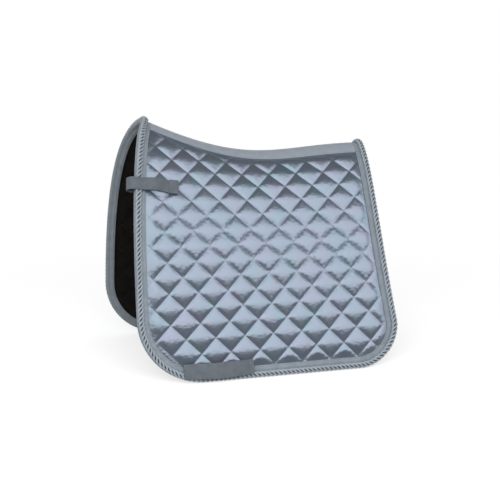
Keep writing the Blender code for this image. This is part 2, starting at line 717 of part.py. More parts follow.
build_spine()
for side_name, side_sign in SIDES.items():
    flap_fold = add_axis(f"{side_name}_flap_fold", fold_axis_place(side_sign))
    build_flap(side_name, side_sign, flap_fold)
    if side_name == BILLET_STRAP_SIDE:
        tab_fold = add_axis(f"{side_name}_strap_fold", strap_axis_place(side_sign), flap_fold)
        build_billet_strap(side_name, side_sign, flap_fold, tab_fold)
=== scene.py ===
"""Looks of the quilted saddle pad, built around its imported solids.

Metres, in the solids' own frame: -X is the front (pommel), -Y the left flap, and the hems stand on Z = 0.
"""

import math

import bmesh
import bpy
import numpy as np
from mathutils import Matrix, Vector
from mathutils.geometry import delaunay_2d_cdt


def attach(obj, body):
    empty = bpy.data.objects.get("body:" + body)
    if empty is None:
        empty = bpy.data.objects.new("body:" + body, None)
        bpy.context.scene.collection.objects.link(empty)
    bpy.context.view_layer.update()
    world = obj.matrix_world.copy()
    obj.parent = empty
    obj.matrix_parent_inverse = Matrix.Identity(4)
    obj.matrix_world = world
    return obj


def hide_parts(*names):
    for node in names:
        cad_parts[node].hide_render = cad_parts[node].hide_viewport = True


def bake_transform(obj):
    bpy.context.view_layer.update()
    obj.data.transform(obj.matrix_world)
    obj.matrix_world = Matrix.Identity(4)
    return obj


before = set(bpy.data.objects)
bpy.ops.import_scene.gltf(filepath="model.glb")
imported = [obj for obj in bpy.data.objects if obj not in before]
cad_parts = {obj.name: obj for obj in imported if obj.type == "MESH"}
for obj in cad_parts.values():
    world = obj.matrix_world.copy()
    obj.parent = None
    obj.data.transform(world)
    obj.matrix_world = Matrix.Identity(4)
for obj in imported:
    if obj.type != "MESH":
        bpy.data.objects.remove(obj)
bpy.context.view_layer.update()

# Quilted flaps
# Each flap is a satin outside and a dark lining with fibre wadding between them, laid flat, sewn
# through in diamonds, cut to shape and then draped. A point of the flat cloth is (x, t), t being
# the length up the cloth from the hem, and n is its height above the middle of the layers.
SPINE_FRONT = np.array([-0.2305, 0.534])
SPINE_REAR = np.array([0.287, 0.4735])
SPINE_FRONT_SLOPE = math.radians(24.3)
SPINE_FRONT_REACH = 0.285
SPINE_REAR_REACH = 0.209
SPINE_HALF_GAP = 0.037
HEM_HALF_SPREAD = 0.2185
HEM_LEAN = math.radians(8.5)
HEM_REACH = 0.171
HEM_SQUARE_HEIGHT = 0.030
RIDGE_FALL = (math.radians(19.0), math.radians(22.5))
RIDGE_REACH = (0.175, 0.110)
DRAPE_OVERRUN = 0.2
HEM_FRONT_X = -0.288
HEM_REAR_X = 0.293
FRONT_CORNER_RADIUS = 0.138
REAR_CORNER_RADIUS = 0.095
FRONT_EDGE_SWEEP = 0.049
FRONT_EDGE_TOP_REACH = 0.111
FRONT_EDGE_FOOT_REACH = 0.185
REAR_EDGE_HOLLOW = 0.013
DIAMOND_WIDTH = 0.0638
DIAMOND_HEIGHT = 0.0644
QUILT_CENTRE_X = 0.005
QUILT_CROSSING_HEIGHT = 0.0255
COVER_THICKNESS = 0.0008
PANEL_INSET = 0.0013
BINDING_WIDTH = 0.024
TOP_TUCK = 0.030
CELLS_ACROSS_DIAMOND = 8
LEFT = -1
RIGHT = 1
SIDES = {"left": LEFT, "right": RIGHT}
CURVE_SAMPLES = 240
SECTION_SAMPLES = 96
SMALL_STEP = 0.0005
TABLE_SAMPLES = 1000
DRAPE_BATCH = 5000
MERGE_DISTANCE = 1e-6


def bezier(start, start_handle, end_handle, end, u):
    """Points of a cubic Bezier curve at the parameters u."""
    u = np.asarray(u)[..., None]
    v = 1 - u
    return v**3 * start + 3 * v * v * u * start_handle + 3 * v * u * u * end_handle + u**3 * end


def smoothstep(u):
    """Smooth rise from 0 to 1 as u goes from 0 to 1."""
    u = np.clip(u, 0, 1)
    return u * u * (3 - 2 * u)


def unit(vectors):
    """Rows of vectors, each made one long."""
    return vectors / np.linalg.norm(vectors, axis=1)[:, None]


spine_fall = np.array([math.cos(SPINE_FRONT_SLOPE), -math.sin(SPINE_FRONT_SLOPE)])
spine_line = bezier(SPINE_FRONT, SPINE_FRONT + SPINE_FRONT_REACH * spine_fall,
                    SPINE_REAR - [SPINE_REAR_REACH, 0], SPINE_REAR, np.linspace(0, 1, CURVE_SAMPLES))


def ridge_height(x):
    """Height of the ridge at x, carried on straight in front of the spine."""
    z = np.interp(x, spine_line[:, 0], spine_line[:, 1])
    slope = (spine_line[1, 1] - spine_line[0, 1]) / (spine_line[1, 0] - spine_line[0, 0])
    return z + np.minimum(x - SPINE_FRONT[0], 0) * slope


def sections(x):
    """Cross-sections at each x: points (y, z) from hem to ridge, and their lengths up the cloth."""
    along = (x - SPINE_FRONT[0]) / (SPINE_REAR[0] - SPINE_FRONT[0])
    along = np.clip(along, -DRAPE_OVERRUN, 1 + DRAPE_OVERRUN)
    fall = RIDGE_FALL[0] + (RIDGE_FALL[1] - RIDGE_FALL[0]) * along
    reach = RIDGE_REACH[0] + (RIDGE_REACH[1] - RIDGE_REACH[0]) * along
    nothing = np.zeros_like(x)
    hem = np.stack([nothing + HEM_HALF_SPREAD, nothing], -1)[:, None]
    ridge = np.stack([nothing, ridge_height(x)], -1)[:, None]
    hem_handle = hem + HEM_REACH * np.array([-math.sin(HEM_LEAN), math.cos(HEM_LEAN)])
    ridge_handle = ridge + (reach[:, None] * np.stack([np.cos(fall), -np.sin(fall)], -1))[:, None]
    points = bezier(hem, hem_handle, ridge_handle, ridge, np.linspace(0, 1, SECTION_SAMPLES)[None])
    steps = np.linalg.norm(np.diff(points, axis=1), axis=2)
    lengths = np.concatenate([nothing[:, None], np.cumsum(steps, axis=1)], axis=1)
    return points, lengths


table_x = np.linspace(HEM_FRONT_X - DRAPE_OVERRUN, HEM_REAR_X + DRAPE_OVERRUN, TABLE_SAMPLES)
table_length = sections(table_x)[1][:, -1]


def cloth_length(x):
    """Length of the cloth from hem to ridge at each x."""
    return np.interp(x, table_x, table_length)


def surface(x, t):
    """Points of the right flap's middle surface for pattern points (x, t)."""
    points, lengths = sections(x)
    rows = np.arange(len(x))
    low = np.clip((lengths <= t[:, None]).sum(axis=1) - 1, 0, SECTION_SAMPLES - 2)
    span = lengths[rows, low + 1] - lengths[rows, low]
    share = ((t - lengths[rows, low]) / span)[:, None]
    yz = points[rows, low] * (1 - share) + points[rows, low + 1] * share
    return np.column_stack([x, yz])


def drape_some(x, t, n, side):
    """World points for a few thousand pattern points."""
    ridge_t = cloth_length(x)
    inner_t = np.clip(t, SMALL_STEP, ridge_t - SMALL_STEP)
    along_x = surface(x + SMALL_STEP, inner_t) - surface(x - SMALL_STEP, inner_t)
    up_cloth = surface(x, inner_t + SMALL_STEP) - surface(x, inner_t - SMALL_STEP)
    normal = unit(np.cross(up_cloth, along_x))
    normal[:, 2] *= smoothstep(t / HEM_SQUARE_HEIGHT)
    on_ridge = ridge_t - t < SMALL_STEP
    normal[on_ridge, 1] = 0
    normal[on_ridge] /= (normal[on_ridge] ** 2).sum(axis=1)[:, None]
    place = surface(x, np.minimum(t, ridge_t)) + normal * n[:, None]
    place[:, 1] *= side
    return place


def drape(x, t, n, side):
    """World points for pattern points (x, t) at height n, on one side of the pad."""
    x, t, n = (np.array(a, dtype=float).ravel() for a in np.broadcast_arrays(x, t, n))
    batches = max(1, len(x) // DRAPE_BATCH)
    return np.concatenate([drape_some(*part, side) for part in
                           zip(*(np.array_split(a, batches) for a in (x, t, n)))])


def edge_curve():
    """Pattern points of a flap's free edge: front ridge, front edge, hem, rear edge, rear ridge."""
    front_top = np.array([SPINE_FRONT[0], cloth_length(SPINE_FRONT[0])])
    rear_top = np.array([SPINE_REAR[0], cloth_length(SPINE_REAR[0])])
    front_foot = np.array([HEM_FRONT_X, FRONT_CORNER_RADIUS])
    rear_foot = np.array([HEM_REAR_X, REAR_CORNER_RADIUS])
    u = np.linspace(0, 1, CURVE_SAMPLES)
    front = bezier(front_top, front_top - [FRONT_EDGE_SWEEP, FRONT_EDGE_TOP_REACH],
                   front_foot + [0, FRONT_EDGE_FOOT_REACH], front_foot, u)
    quarter = u * math.pi / 2
    front_corner = front_foot + FRONT_CORNER_RADIUS * np.column_stack([1 - np.cos(quarter), -np.sin(quarter)])
    rear_corner = rear_foot + REAR_CORNER_RADIUS * np.column_stack([np.sin(quarter) - 1, -np.cos(quarter)])
    hollow = np.column_stack([-4 * REAR_EDGE_HOLLOW * u * (1 - u), 0 * u])
    rear = rear_foot + (rear_top - rear_foot) * u[:, None] + hollow
    hem = front_corner[-1] + (rear_corner[0] - front_corner[-1]) * u[:, None]
    return np.concatenate([front, front_corner[1:], hem[1:], rear_corner[1:], rear[1:]])


edge_points = edge_curve()
edge_s = np.concatenate([[0], np.cumsum(np.linalg.norm(np.diff(edge_points, axis=0), axis=1))])
edge_tangent = unit(np.gradient(edge_points, edge_s, axis=0))
edge_inward = np.column_stack([-edge_tangent[:, 1], edge_tangent[:, 0]])


def by_edge(s, d):
    """Pattern points at s along the free edge and d inwards from it."""
    s, d = np.broadcast_arrays(np.asarray(s, dtype=float), d)
    return np.stack([np.interp(s, edge_s, edge_points[:, k]) + d * np.interp(s, edge_s, edge_inward[:, k])
                     for k in (0, 1)], -1)


def below_ridge(d, r):
    """First and last s where the line d inwards from the free edge lies r below the ridge."""
    x, t = by_edge(edge_s, d).T
    depth = cloth_length(x) - t - r
    below = np.flatnonzero(depth > 0)
    front = slice(below[0] - 1, below[0] + 1)
    rear = slice(below[-1], below[-1] + 2)
    return np.interp(0, depth[front], edge_s[front]), np.interp(0, depth[rear][::-1], edge_s[rear][::-1])


def cloth_ring(d, r, step):
    """Closed pattern line d inside the free edge and r below the ridge."""
    first, last = below_ridge(d, r)
    free = by_edge(np.linspace(first, last, round((last - first) / step)), d)
    top_x = np.linspace(free[-1, 0], free[0, 0], round((free[-1, 0] - free[0, 0]) / step))[1:-1]
    return np.concatenate([free, np.column_stack([top_x, cloth_length(top_x) - r])])


def inside_ring(points, ring):
    """Whether each pattern point lies inside a closed line."""
    after = np.roll(ring, -1, axis=0)
    x, t = points[:, :1], points[:, 1:]
    spans = (ring[:, 1] > t) != (after[:, 1] > t)
    rise = np.where(after[:, 1] == ring[:, 1], 1, after[:, 1] - ring[:, 1])
    crossing = ring[:, 0] + (t - ring[:, 1]) * (after[:, 0] - ring[:, 0]) / rise
    return (spans & (x < crossing)).sum(axis=1) % 2 == 1


def distance_to_ring(points, ring):
    """Least distance from each pattern point to a closed line."""
    after = np.roll(ring, -1, axis=0)
    chord = after - ring
    away = points[:, None] - ring
    share = np.clip((away * chord).sum(-1) / (chord**2).sum(-1), 0, 1)
    return np.linalg.norm(away - share[..., None] * chord, axis=-1).min(axis=1)


def seam_numbers(points):
    """The two slanting counts of a pattern point, whole numbers on the quilting seams."""
    across = (points[:, 0] - QUILT_CENTRE_X) / DIAMOND_WIDTH
    up = (points[:, 1] - QUILT_CROSSING_HEIGHT) / DIAMOND_HEIGHT
    return np.column_stack([across + up, across - up])


def seam_places(numbers):
    """Pattern points of pairs of slanting counts."""
    return np.column_stack([QUILT_CENTRE_X + DIAMOND_WIDTH * numbers.sum(axis=1) / 2,
                            QUILT_CROSSING_HEIGHT + DIAMOND_HEIGHT * (numbers[:, 0] - numbers[:, 1]) / 2])


def ring_crossing(start, step, ring):
    """Point where a step from a pattern point first meets a closed line."""
    chord = np.roll(ring, -1, axis=0) - ring
    away = ring - start
    turn = step[0] * chord[:, 1] - step[1] * chord[:, 0]
    turn[turn == 0] = np.finfo(float).tiny
    along_step = (away[:, 0] * chord[:, 1] - away[:, 1] * chord[:, 0]) / turn
    along_chord = (away[:, 0] * step[1] - away[:, 1] * step[0]) / turn
    met = (along_step > 0) & (along_chord >= 0) & (along_chord <= 1)
    return start + step * along_step[met].min()


CELL = DIAMOND_WIDTH / math.sqrt(2) / CELLS_ACROSS_DIAMOND
panel_ring = cloth_ring(PANEL_INSET, TOP_TUCK, CELL)
middle_ring = cloth_ring(BINDING_WIDTH / 2, (TOP_TUCK + SPINE_HALF_GAP) / 2, CELL)
field_ring = cloth_ring(BINDING_WIDTH, SPINE_HALF_GAP, CELL)


def flat_flap():
    """Flat flap in small faces that follow its outline, its sewn border and its quilting seams."""
    corners = [(x, t) for x in (HEM_FRONT_X, HEM_REAR_X) for t in (0, edge_points[:, 1].max())]
    corners = seam_numbers(np.array(corners))
    low = np.floor(corners.min(axis=0)).astype(int)
    high = np.ceil(corners.max(axis=0)).astype(int)
    counts = [np.arange(low[k] * CELLS_ACROSS_DIAMOND, high[k] * CELLS_ACROSS_DIAMOND + 1) for k in (0, 1)]
    grid = np.stack(np.meshgrid(*counts, indexing="ij"), -1)
    places = seam_places(grid.reshape(-1, 2) / CELLS_ACROSS_DIAMOND)
    inside = inside_ring(places, field_ring)
    clear = np.zeros(len(places), bool)
    clear[inside] = distance_to_ring(places[inside], field_ring) > CELL / 3
    clear = clear.reshape(grid.shape[:2])
    number = np.full(clear.shape, -1)
    number[clear] = np.arange(clear.sum())
    points = [*places.reshape(grid.shape)[clear]]
    edges = []
    on_seam = grid % CELLS_ACROSS_DIAMOND == 0
    places = places.reshape(grid.shape)
    for k, step in ((0, (0, 1)), (1, (1, 0))):
        for i, j in np.argwhere(on_seam[..., k] & clear):
            for way in (1, -1):
                next_i, next_j = i + way * step[0], j + way * step[1]
                if not clear[next_i, next_j]:
                    edges.append((number[i, j], len(points)))
                    onward = places[next_i, next_j] - places[i, j]
                    points.append(ring_crossing(places[i, j], onward, field_ring))
                elif way > 0:
                    edges.append((number[i, j], number[next_i, next_j]))
    for ring in (panel_ring, middle_ring, field_ring):
        start = len(points)
        points.extend(ring)
        edges.extend((start + k, start + (k + 1) % len(ring)) for k in range(len(ring)))
    edges = [tuple(map(int, edge)) for edge in edges]
    made = delaunay_2d_cdt([Vector(p) for p in points], edges, [], 1, MERGE_DISTANCE)
    return np.array([tuple(v) for v in made[0]]), made[2]


cloth_points, cloth_faces = flat_flap()
ON_LINE = 1e-5
ON_SEAM = 1e-3
border_distance = distance_to_ring(cloth_points, field_ring)
in_field = inside_ring(cloth_points, field_ring) & (border_distance > ON_LINE)
cloth_counts = seam_numbers(cloth_points)
off_seam = np.abs(cloth_counts - np.round(cloth_counts))
on_seam = in_field & (off_seam.min(axis=1) < ON_SEAM)


def sewn_faces():
    """Four-sided faces of the flat flap, and the edges that lie on its seams or on its border line."""
    bm = bmesh.new()
    verts = [bm.verts.new((x, t, 0)) for x, t in cloth_points]
    for face in cloth_faces:
        bm.faces.new([verts[k] for k in face])
    bm.verts.index_update()
    whole = np.round(cloth_counts)
    for edge in bm.edges:
        a, b = (vert.index for vert in edge.verts)
        along = (off_seam[a] < ON_SEAM) & (off_seam[b] < ON_SEAM) & (whole[a] == whole[b])
        sewn = along.any() and (in_field[a] or in_field[b])
        edge.smooth = not (sewn or max(border_distance[a], border_distance[b]) < ON_LINE)
    bmesh.ops.join_triangles(bm, faces=bm.faces[:], cmp_sharp=True, angle_face_threshold=math.pi,
                             angle_shape_threshold=math.radians(70))
    faces = [[vert.index for vert in face.verts] for face in bm.faces]
    sharp = [tuple(vert.index for vert in edge.verts) for edge in bm.edges if not edge.smooth]
    bm.free()
    return faces, sharp


def mesh_piece(name, points, faces, uv=None):
    """A smooth mesh object at the origin; uv gives each point's place on the flat cloth."""
    mesh = bpy.data.meshes.new(name)
    mesh.from_pydata([tuple(p) for p in points], [], faces)
    if uv is not None:
        corners = np.empty(len(mesh.loops), dtype=int)
        mesh.loops.foreach_get("vertex_index", corners)
        mesh.uv_layers.new(name="cloth").data.foreach_set("uv", np.asarray(uv)[corners].ravel())
    mesh.shade_smooth()
    piece = bpy.data.objects.new(name, mesh)
    bpy.context.collection.objects.link(piece)
    return piece


def settle(piece):
    """Make a piece's modifiers part of its mesh."""
    bpy.context.view_layer.update()
    finished = bpy.data.meshes.new_from_object(piece.evaluated_get(bpy.context.evaluated_depsgraph_get()))
    rough = piece.data
    piece.modifiers.clear()
    piece.data = finished
    bpy.data.meshes.remove(rough)
    return piece


def mesh_points(piece):
    points = np.empty(3 * len(piece.data.vertices), dtype=np.float32)
    piece.data.vertices.foreach_get("co", points)
    return points.reshape(-1, 3).astype(float)


SATIN_AT_SEAM = 0.0036
SATIN_AT_BORDER = 0.0023
SATIN_RISE = 0.0075
LINING_RISE = 0.0040
SATIN_EASE = 0.055
LINING_EASE = 0.020
EASE_SPREAD = 0.30
PUFF_TAPER = 0.020
PUFF_CAP = 0.014
CLOTH_FRAMES = 20
PART_BLOWN = 0.6
ROOF_SHARE = 0.28
ROOF_RISE = 0.0115
ROOF_RIDGE_ROUND = 0.16
ROOF_END_ROUND = 0.24
quilt_faces, quilt_sharp = sewn_faces()
layer_height = SATIN_AT_BORDER + (SATIN_AT_SEAM - SATIN_AT_BORDER) * np.where(
    in_field, smoothstep(border_distance / PUFF_TAPER), 0)


def bag_faces():
    """Faces of satin, lining and the rim between them; the lining's points come after the satin's."""
    count = len(cloth_points)
    directed = {(face[k - 1], face[k]) for face in quilt_faces for k in range(len(face))}
    under = [[k + count for k in face[::-1]] for face in quilt_faces]
    rim = [[b, a, a + count, b + count] for a, b in sorted(directed) if (b, a) not in directed]
    return quilt_faces + under + rim


def blown_up(start):
    """Pattern places of both skins, satin first, once wadding fills the cloth between the seams."""
    count = len(cloth_points)
    bag = mesh_piece("flap_bag", start, bag_faces())
    sewn = bag.vertex_groups.new(name="sewn")
    held = np.flatnonzero(~in_field | on_seam)
    sewn.add(np.concatenate([held, held + count]).tolist(), 1.0, "REPLACE")
    ease = bag.vertex_groups.new(name="ease")
    diamond = np.floor(cloth_counts).astype(int)
    diamond -= diamond.min(axis=0)
    fullness = 1 - EASE_SPREAD * np.random.default_rng(11).random(diamond.max(axis=0) + 1)
    for k, (a, b) in enumerate(diamond):
        ease.add([k], fullness[a, b], "REPLACE")
    cloth = bag.modifiers.new("blow_up", "CLOTH")
    cloth.collision_settings.use_collision = False
    settings = cloth.settings
    settings.quality = 5
    settings.mass = 0.3
    settings.tension_stiffness = 15
    settings.compression_stiffness = 15
    settings.shear_stiffness = 5
    settings.bending_stiffness = 0.1
    settings.use_pressure = True
    settings.uniform_pressure_force = 4
    settings.effector_weights.gravity = 0
    settings.vertex_group_mass = "sewn"
    settings.vertex_group_shrink = "ease"
    settings.shrink_min = -LINING_EASE
    settings.shrink_max = -SATIN_EASE
    for number in range(1, CLOTH_FRAMES + 1):
        bpy.context.scene.frame_set(number)
    settle(bag)
    places = mesh_points(bag)
    bpy.data.objects.remove(bag)
    bpy.context.scene.frame_set(1)
    moved = places - start
    far = np.linalg.norm(moved, axis=1)
    return start + moved * np.minimum(1, PUFF_CAP / np.maximum(far, ON_LINE))[:, None]


def diamond_roof():
    """Height from 0 at a diamond's seams to its most at the middle, as a hipped roof with a soft ridge."""
    place = cloth_counts - np.floor(cloth_counts) - 0.5
    across = np.hypot(place.sum(axis=1), ROOF_END_ROUND)
    up = np.hypot(place[:, 0] - place[:, 1], ROOF_RIDGE_ROUND)
    return np.maximum(0, 1 + ROOF_RIDGE_ROUND - across - up)


def quilted_skins():
    """Pattern places of the satin and of the lining."""
    share = cloth_counts - np.floor(cloth_counts)
    inwards = np.where(in_field, smoothstep(border_distance / PUFF_TAPER), 0)
    crown = np.sqrt((4 * share * (1 - share)).prod(axis=1)) * inwards
    part_blown = PART_BLOWN
    satin = np.column_stack([cloth_points, layer_height + part_blown * SATIN_RISE * crown])
    lining = np.column_stack([cloth_points, -layer_height - part_blown * LINING_RISE * crown])
    both = blown_up(np.concatenate([satin, lining]))
    satin, lining = both[:len(satin)], both[len(satin):]
    roof = layer_height + ROOF_RISE * diamond_roof() * inwards
    satin[:, 2] += ROOF_SHARE * np.where(in_field, roof - satin[:, 2], 0)
    return satin, lining


satin_places, lining_places = quilted_skins()

PUCKER_HEIGHT = 0.00035
PUCKER_LENGTH = 0.011
PUCKER_REACH = 0.007
PUCKER_START = 0.003
PUCKER_SWAY = 0.031
SEAM_SPACING = DIAMOND_WIDTH * DIAMOND_HEIGHT / math.hypot(DIAMOND_WIDTH, DIAMOND_HEIGHT)


def puckers(x, t):
    """Small ripples that the thread draws into the cloth beside each seam."""
    counts = seam_numbers(np.column_stack([x, t]))
    whole = np.round(counts)
    total = np.zeros_like(x)
    for k in (0, 1):
        away = np.abs(counts[:, k] - whole[:, k]) * SEAM_SPACING
        along = counts[:, 1 - k] * SEAM_SPACING
        phase = 5 * np.sin(1.7 * whole[:, k] + 3.1 * k) + 2 * np.sin(along / PUCKER_SWAY + 2.3 * whole[:, k])
        fade = smoothstep(away / PUCKER_START) * np.exp(-away / PUCKER_REACH)
        total += fade * np.sin(2 * math.pi * along / PUCKER_LENGTH + phase)
    return PUCKER_HEIGHT * total


def quilted_skin(name, places, faces, side, pucker_share):
    """One skin of a flap: made finer in the pattern, rippled, draped and given its thickness."""
    piece = mesh_piece(name, places, faces, uv=cloth_points)
    sharp = {tuple(sorted(pair)) for pair in quilt_sharp}
    crease = piece.data.attributes.new("crease_edge", "FLOAT", "EDGE")
    for edge in piece.data.edges:
        edge.use_edge_sharp = tuple(sorted(edge.vertices)) in sharp
        crease.data[edge.index].value = float(edge.use_edge_sharp)
    finer = piece.modifiers.new("finer", "SUBSURF")
    finer.levels = finer.render_levels = 1
    settle(piece)
    x, t, n = mesh_points(piece).T
    flat = np.column_stack([x, t])
    field = inside_ring(flat, field_ring)
    n[field] += pucker_share * puckers(x[field], t[field])
    piece.data.vertices.foreach_set("co", drape(x, t, n, side).ravel())
    if side == RIGHT:
        piece.data.flip_normals()
    thick = piece.modifiers.new("thick", "SOLIDIFY")
    thick.thickness = COVER_THICKNESS
    thick.offset = -1
    return settle(piece)


def add_node(tree, kind, inputs=(), **settings):
    """A node with its settings, and its inputs set to values or linked to sockets."""
    node = tree.nodes.new(kind)
    for name, value in settings.items():
        setattr(node, name, value)
    for socket, value in dict(inputs).items():
        if isinstance(value, bpy.types.NodeSocket):
            tree.links.new(value, node.inputs[socket])
        else:
            node.inputs[socket].default_value = value
    return node


def calculated(tree, operation, *values):
    """Socket that a math node works out from values or sockets."""
    return add_node(tree, "ShaderNodeMath", dict(enumerate(values)), operation=operation).outputs[0]


def new_material(name, colour, roughness, **sockets):
    """A Principled material; other sockets are named with underscores for spaces."""
    material = bpy.data.materials.new(name)
    material.use_nodes = True
    shader = material.node_tree.nodes["Principled BSDF"]
    shader.inputs["Base Color"].default_value = (*colour, 1)
    shader.inputs["Roughness"].default_value = roughness
    for socket, value in sockets.items():
        shader.inputs[socket.replace("_", " ")].default_value = value
    material.diffuse_color = (*colour, 1)
    return material, material.node_tree, shader


def cloth_place(tree, stretch=(1, 1, 1), turn=0.0):
    """Socket with the place on the flat cloth, in metres times stretch."""
    flat = add_node(tree, "ShaderNodeUVMap", uv_map="cloth")
    mapping = add_node(tree, "ShaderNodeMapping", {"Vector": flat.outputs["UV"], "Scale": stretch,
                                                   "Rotation": (0, 0, turn)})
    return mapping.outputs["Vector"]


def noise(tree, place, scale, detail=2.0, roughness=0.5):
    return add_node(tree, "ShaderNodeTexNoise", {"Vector": place, "Scale": scale, "Detail": detail,
                                                 "Roughness": roughness}).outputs["Fac"]


def mixed_colour(tree, share, first, second, low=0.35, high=0.65):
    """Colour socket that goes from one colour to another as share goes from low to high."""
    spread = add_node(tree, "ShaderNodeMapRange", {"Value": share, "From Min": low, "From Max": high})
    ends = [end if isinstance(end, bpy.types.NodeSocket) else (*end, 1) for end in (first, second)]
    blend = add_node(tree, "ShaderNodeMixRGB", {"Fac": spread.outputs["Result"], "Color1": ends[0],
                                                "Color2": ends[1]})
    return blend.outputs["Color"]


def bumped(tree, shader, height, distance, strength=1.0):
    """Put one more layer of bump under the shader's normal."""
    bump = add_node(tree, "ShaderNodeBump", {"Height": height, "Distance": distance, "Strength": strength})
    if shader.inputs["Normal"].links:
        tree.links.new(shader.inputs["Normal"].links[0].from_socket, bump.inputs["Normal"])
    tree.links.new(bump.outputs["Normal"], shader.inputs["Normal"])


def satin_material():
    """Blue-grey polyester satin: its floats make it glossy up and down the cloth, and softer across it."""
    material, tree, shader = new_material("blue_grey_satin", SATIN_COLOUR, SATIN_ROUGHNESS,
                                          Metallic=SATIN_METAL, Anisotropic=0.75, Sheen_Weight=0.05,
                                          Sheen_Roughness=0.4)
    tint = mixed_colour(tree, noise(tree, cloth_place(tree), 14.0), SATIN_COLOUR, SATIN_LILAC)
    tint = mixed_colour(tree, noise(tree, cloth_place(tree, turn=1.1), 23.0), tint, SATIN_GREEN, 0.5, 0.75)
    tree.links.new(tint, shader.inputs["Base Color"])
    across = add_node(tree, "ShaderNodeTangent", direction_type="UV_MAP", uv_map="cloth")
    tree.links.new(across.outputs["Tangent"], shader.inputs["Tangent"])
    floats = noise(tree, cloth_place(tree, stretch=(220, 3600, 1)), 1.0, 3.0)
    gloss = add_node(tree, "ShaderNodeMapRange", {"Value": floats,
                                                  "To Min": SATIN_ROUGHNESS - SATIN_ROUGHNESS_SPREAD,
                                                  "To Max": SATIN_ROUGHNESS + SATIN_ROUGHNESS_SPREAD})
    tree.links.new(gloss.outputs["Result"], shader.inputs["Roughness"])
    bumped(tree, shader, noise(tree, cloth_place(tree, stretch=(1, 1.6, 1), turn=0.6), 130.0, 3.0), 0.0006)
    bumped(tree, shader, floats, 0.00006)
    return material


def lining_material():
    """Near-black knitted lining, matt, with a fine mesh of wales."""
    material, tree, shader = new_material("black_lining", LINING_COLOUR, 0.82, Sheen_Weight=0.05,
                                          Specular_IOR_Level=0.25)
    flat = cloth_place(tree)
    tint = mixed_colour(tree, noise(tree, flat, 40.0, 4.0), LINING_COLOUR, LINING_BROWN)
    tree.links.new(tint, shader.inputs["Base Color"])
    knit = add_node(tree, "ShaderNodeTexVoronoi", {"Vector": cloth_place(tree, stretch=(700, 480, 1)),
                                                   "Scale": 1.0, "Randomness": 0.15})
    bumped(tree, shader, knit.outputs["Distance"], 0.0003)
    return material


def wadding_material():
    """White bonded fibre, matt and fluffy."""
    material, tree, shader = new_material("white_wadding", WADDING_COLOUR, 0.95, Sheen_Weight=0.3)
    place = add_node(tree, "ShaderNodeTexCoord").outputs["Object"]
    tint = mixed_colour(tree, noise(tree, place, 160.0, 5.0), WADDING_COLOUR, WADDING_SHADE)
    tree.links.new(tint, shader.inputs["Base Color"])
    bumped(tree, shader, noise(tree, place, 420.0, 5.0, 0.7), 0.0015)
    return material


SATIN_COLOUR = (0.435, 0.535, 0.650)
SATIN_LILAC = (0.475, 0.520, 0.655)
SATIN_GREEN = (0.415, 0.550, 0.640)
SATIN_ROUGHNESS = 0.36
SATIN_ROUGHNESS_SPREAD = 0.05
SATIN_METAL = 0.74
LINING_COLOUR = (0.006, 0.0055, 0.0050)
LINING_BROWN = (0.012, 0.010, 0.008)
WADDING_COLOUR = (0.80, 0.79, 0.76)
WADDING_SHADE = (0.70, 0.69, 0.66)
WADDING_CLEARANCE = 0.0012
satin = satin_material()
black_lining = lining_material()
white_wadding = wadding_material()


def on_flap(piece, side_name, slot, *nodes):
    """A soft piece of a flap, kept where it was built in world space, which takes the place of the named
    solids of its side.
    """
    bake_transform(piece)
    if nodes:
        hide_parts(*(f"{node}_{side_name}" for node in nodes))


turned_faces = [face[::-1] for face in quilt_faces]
for side_name, side in SIDES.items():
    cover = quilted_skin(f"satin_cover_{side_name}", satin_places, quilt_faces, side, 1.0)
    cover.data.materials.append(satin)
    on_flap(cover, side_name, "satin", "outer_satin")
    inner = quilted_skin(f"lining_cloth_{side_name}", lining_places, turned_faces, side, -0.7)
    inner.data.materials.append(black_lining)
    on_flap(inner, side_name, "lining", "lining")

for side_name, side in SIDES.items():
    clearance = [0, 0, WADDING_CLEARANCE]
    fibre = np.concatenate([satin_places - clearance, lining_places + clearance])
    fill = mesh_piece(f"wadding_fill_{side_name}", drape(*fibre.T, side), bag_faces())
    if side == RIGHT:
        fill.data.flip_normals()
    fill.data.materials.append(white_wadding)
    on_flap(fill, side_name, "wadding", "wadding")

# Quilting thread
# Polyester thread, one stitch every few millimetres, which holds satin, wadding and lining together
# along each slanting seam. It is laid on both faces, where a lockstitch machine leaves it.
QUILT_STITCH = {"Pitch": 0.0042, "Length": 0.0036, "Width": 0.0007}
THREAD_LIFT = 0.0002
LINE_STEP = 0.003
SEAMS_EACH_WAY = 14
GREY_THREAD = (0.20, 0.235, 0.27)
BLACK_THREAD = (0.015, 0.014, 0.014)


def tree_inputs(name, sizes):
    """A new geometry node tree with named inputs, and its input node."""
    tree = bpy.data.node_groups.new(name, "GeometryNodeTree")
    tree.interface.new_socket("Geometry", in_out="INPUT", socket_type="NodeSocketGeometry")
    for size in sizes:
        tree.interface.new_socket(size, in_out="INPUT", socket_type="NodeSocketFloat")
    tree.interface.new_socket("Material", in_out="INPUT", socket_type="NodeSocketMaterial")
    tree.interface.new_socket("Geometry", in_out="OUTPUT", socket_type="NodeSocketGeometry")
    return tree, add_node(tree, "NodeGroupInput").outputs


def tree_output(tree, given, geometry):
    """End a tree with plain smooth faces of the given material."""
    real = add_node(tree, "GeometryNodeRealizeInstances", {"Geometry": geometry})
    smooth = add_node(tree, "GeometryNodeSetShadeSmooth", {"Geometry": real.outputs[0]})
    dressed = add_node(tree, "GeometryNodeSetMaterial", {"Geometry": smooth.outputs[0],
                                                         "Material": given["Material"]})
    add_node(tree, "NodeGroupOutput", {"Geometry": dressed.outputs[0]})
    return tree


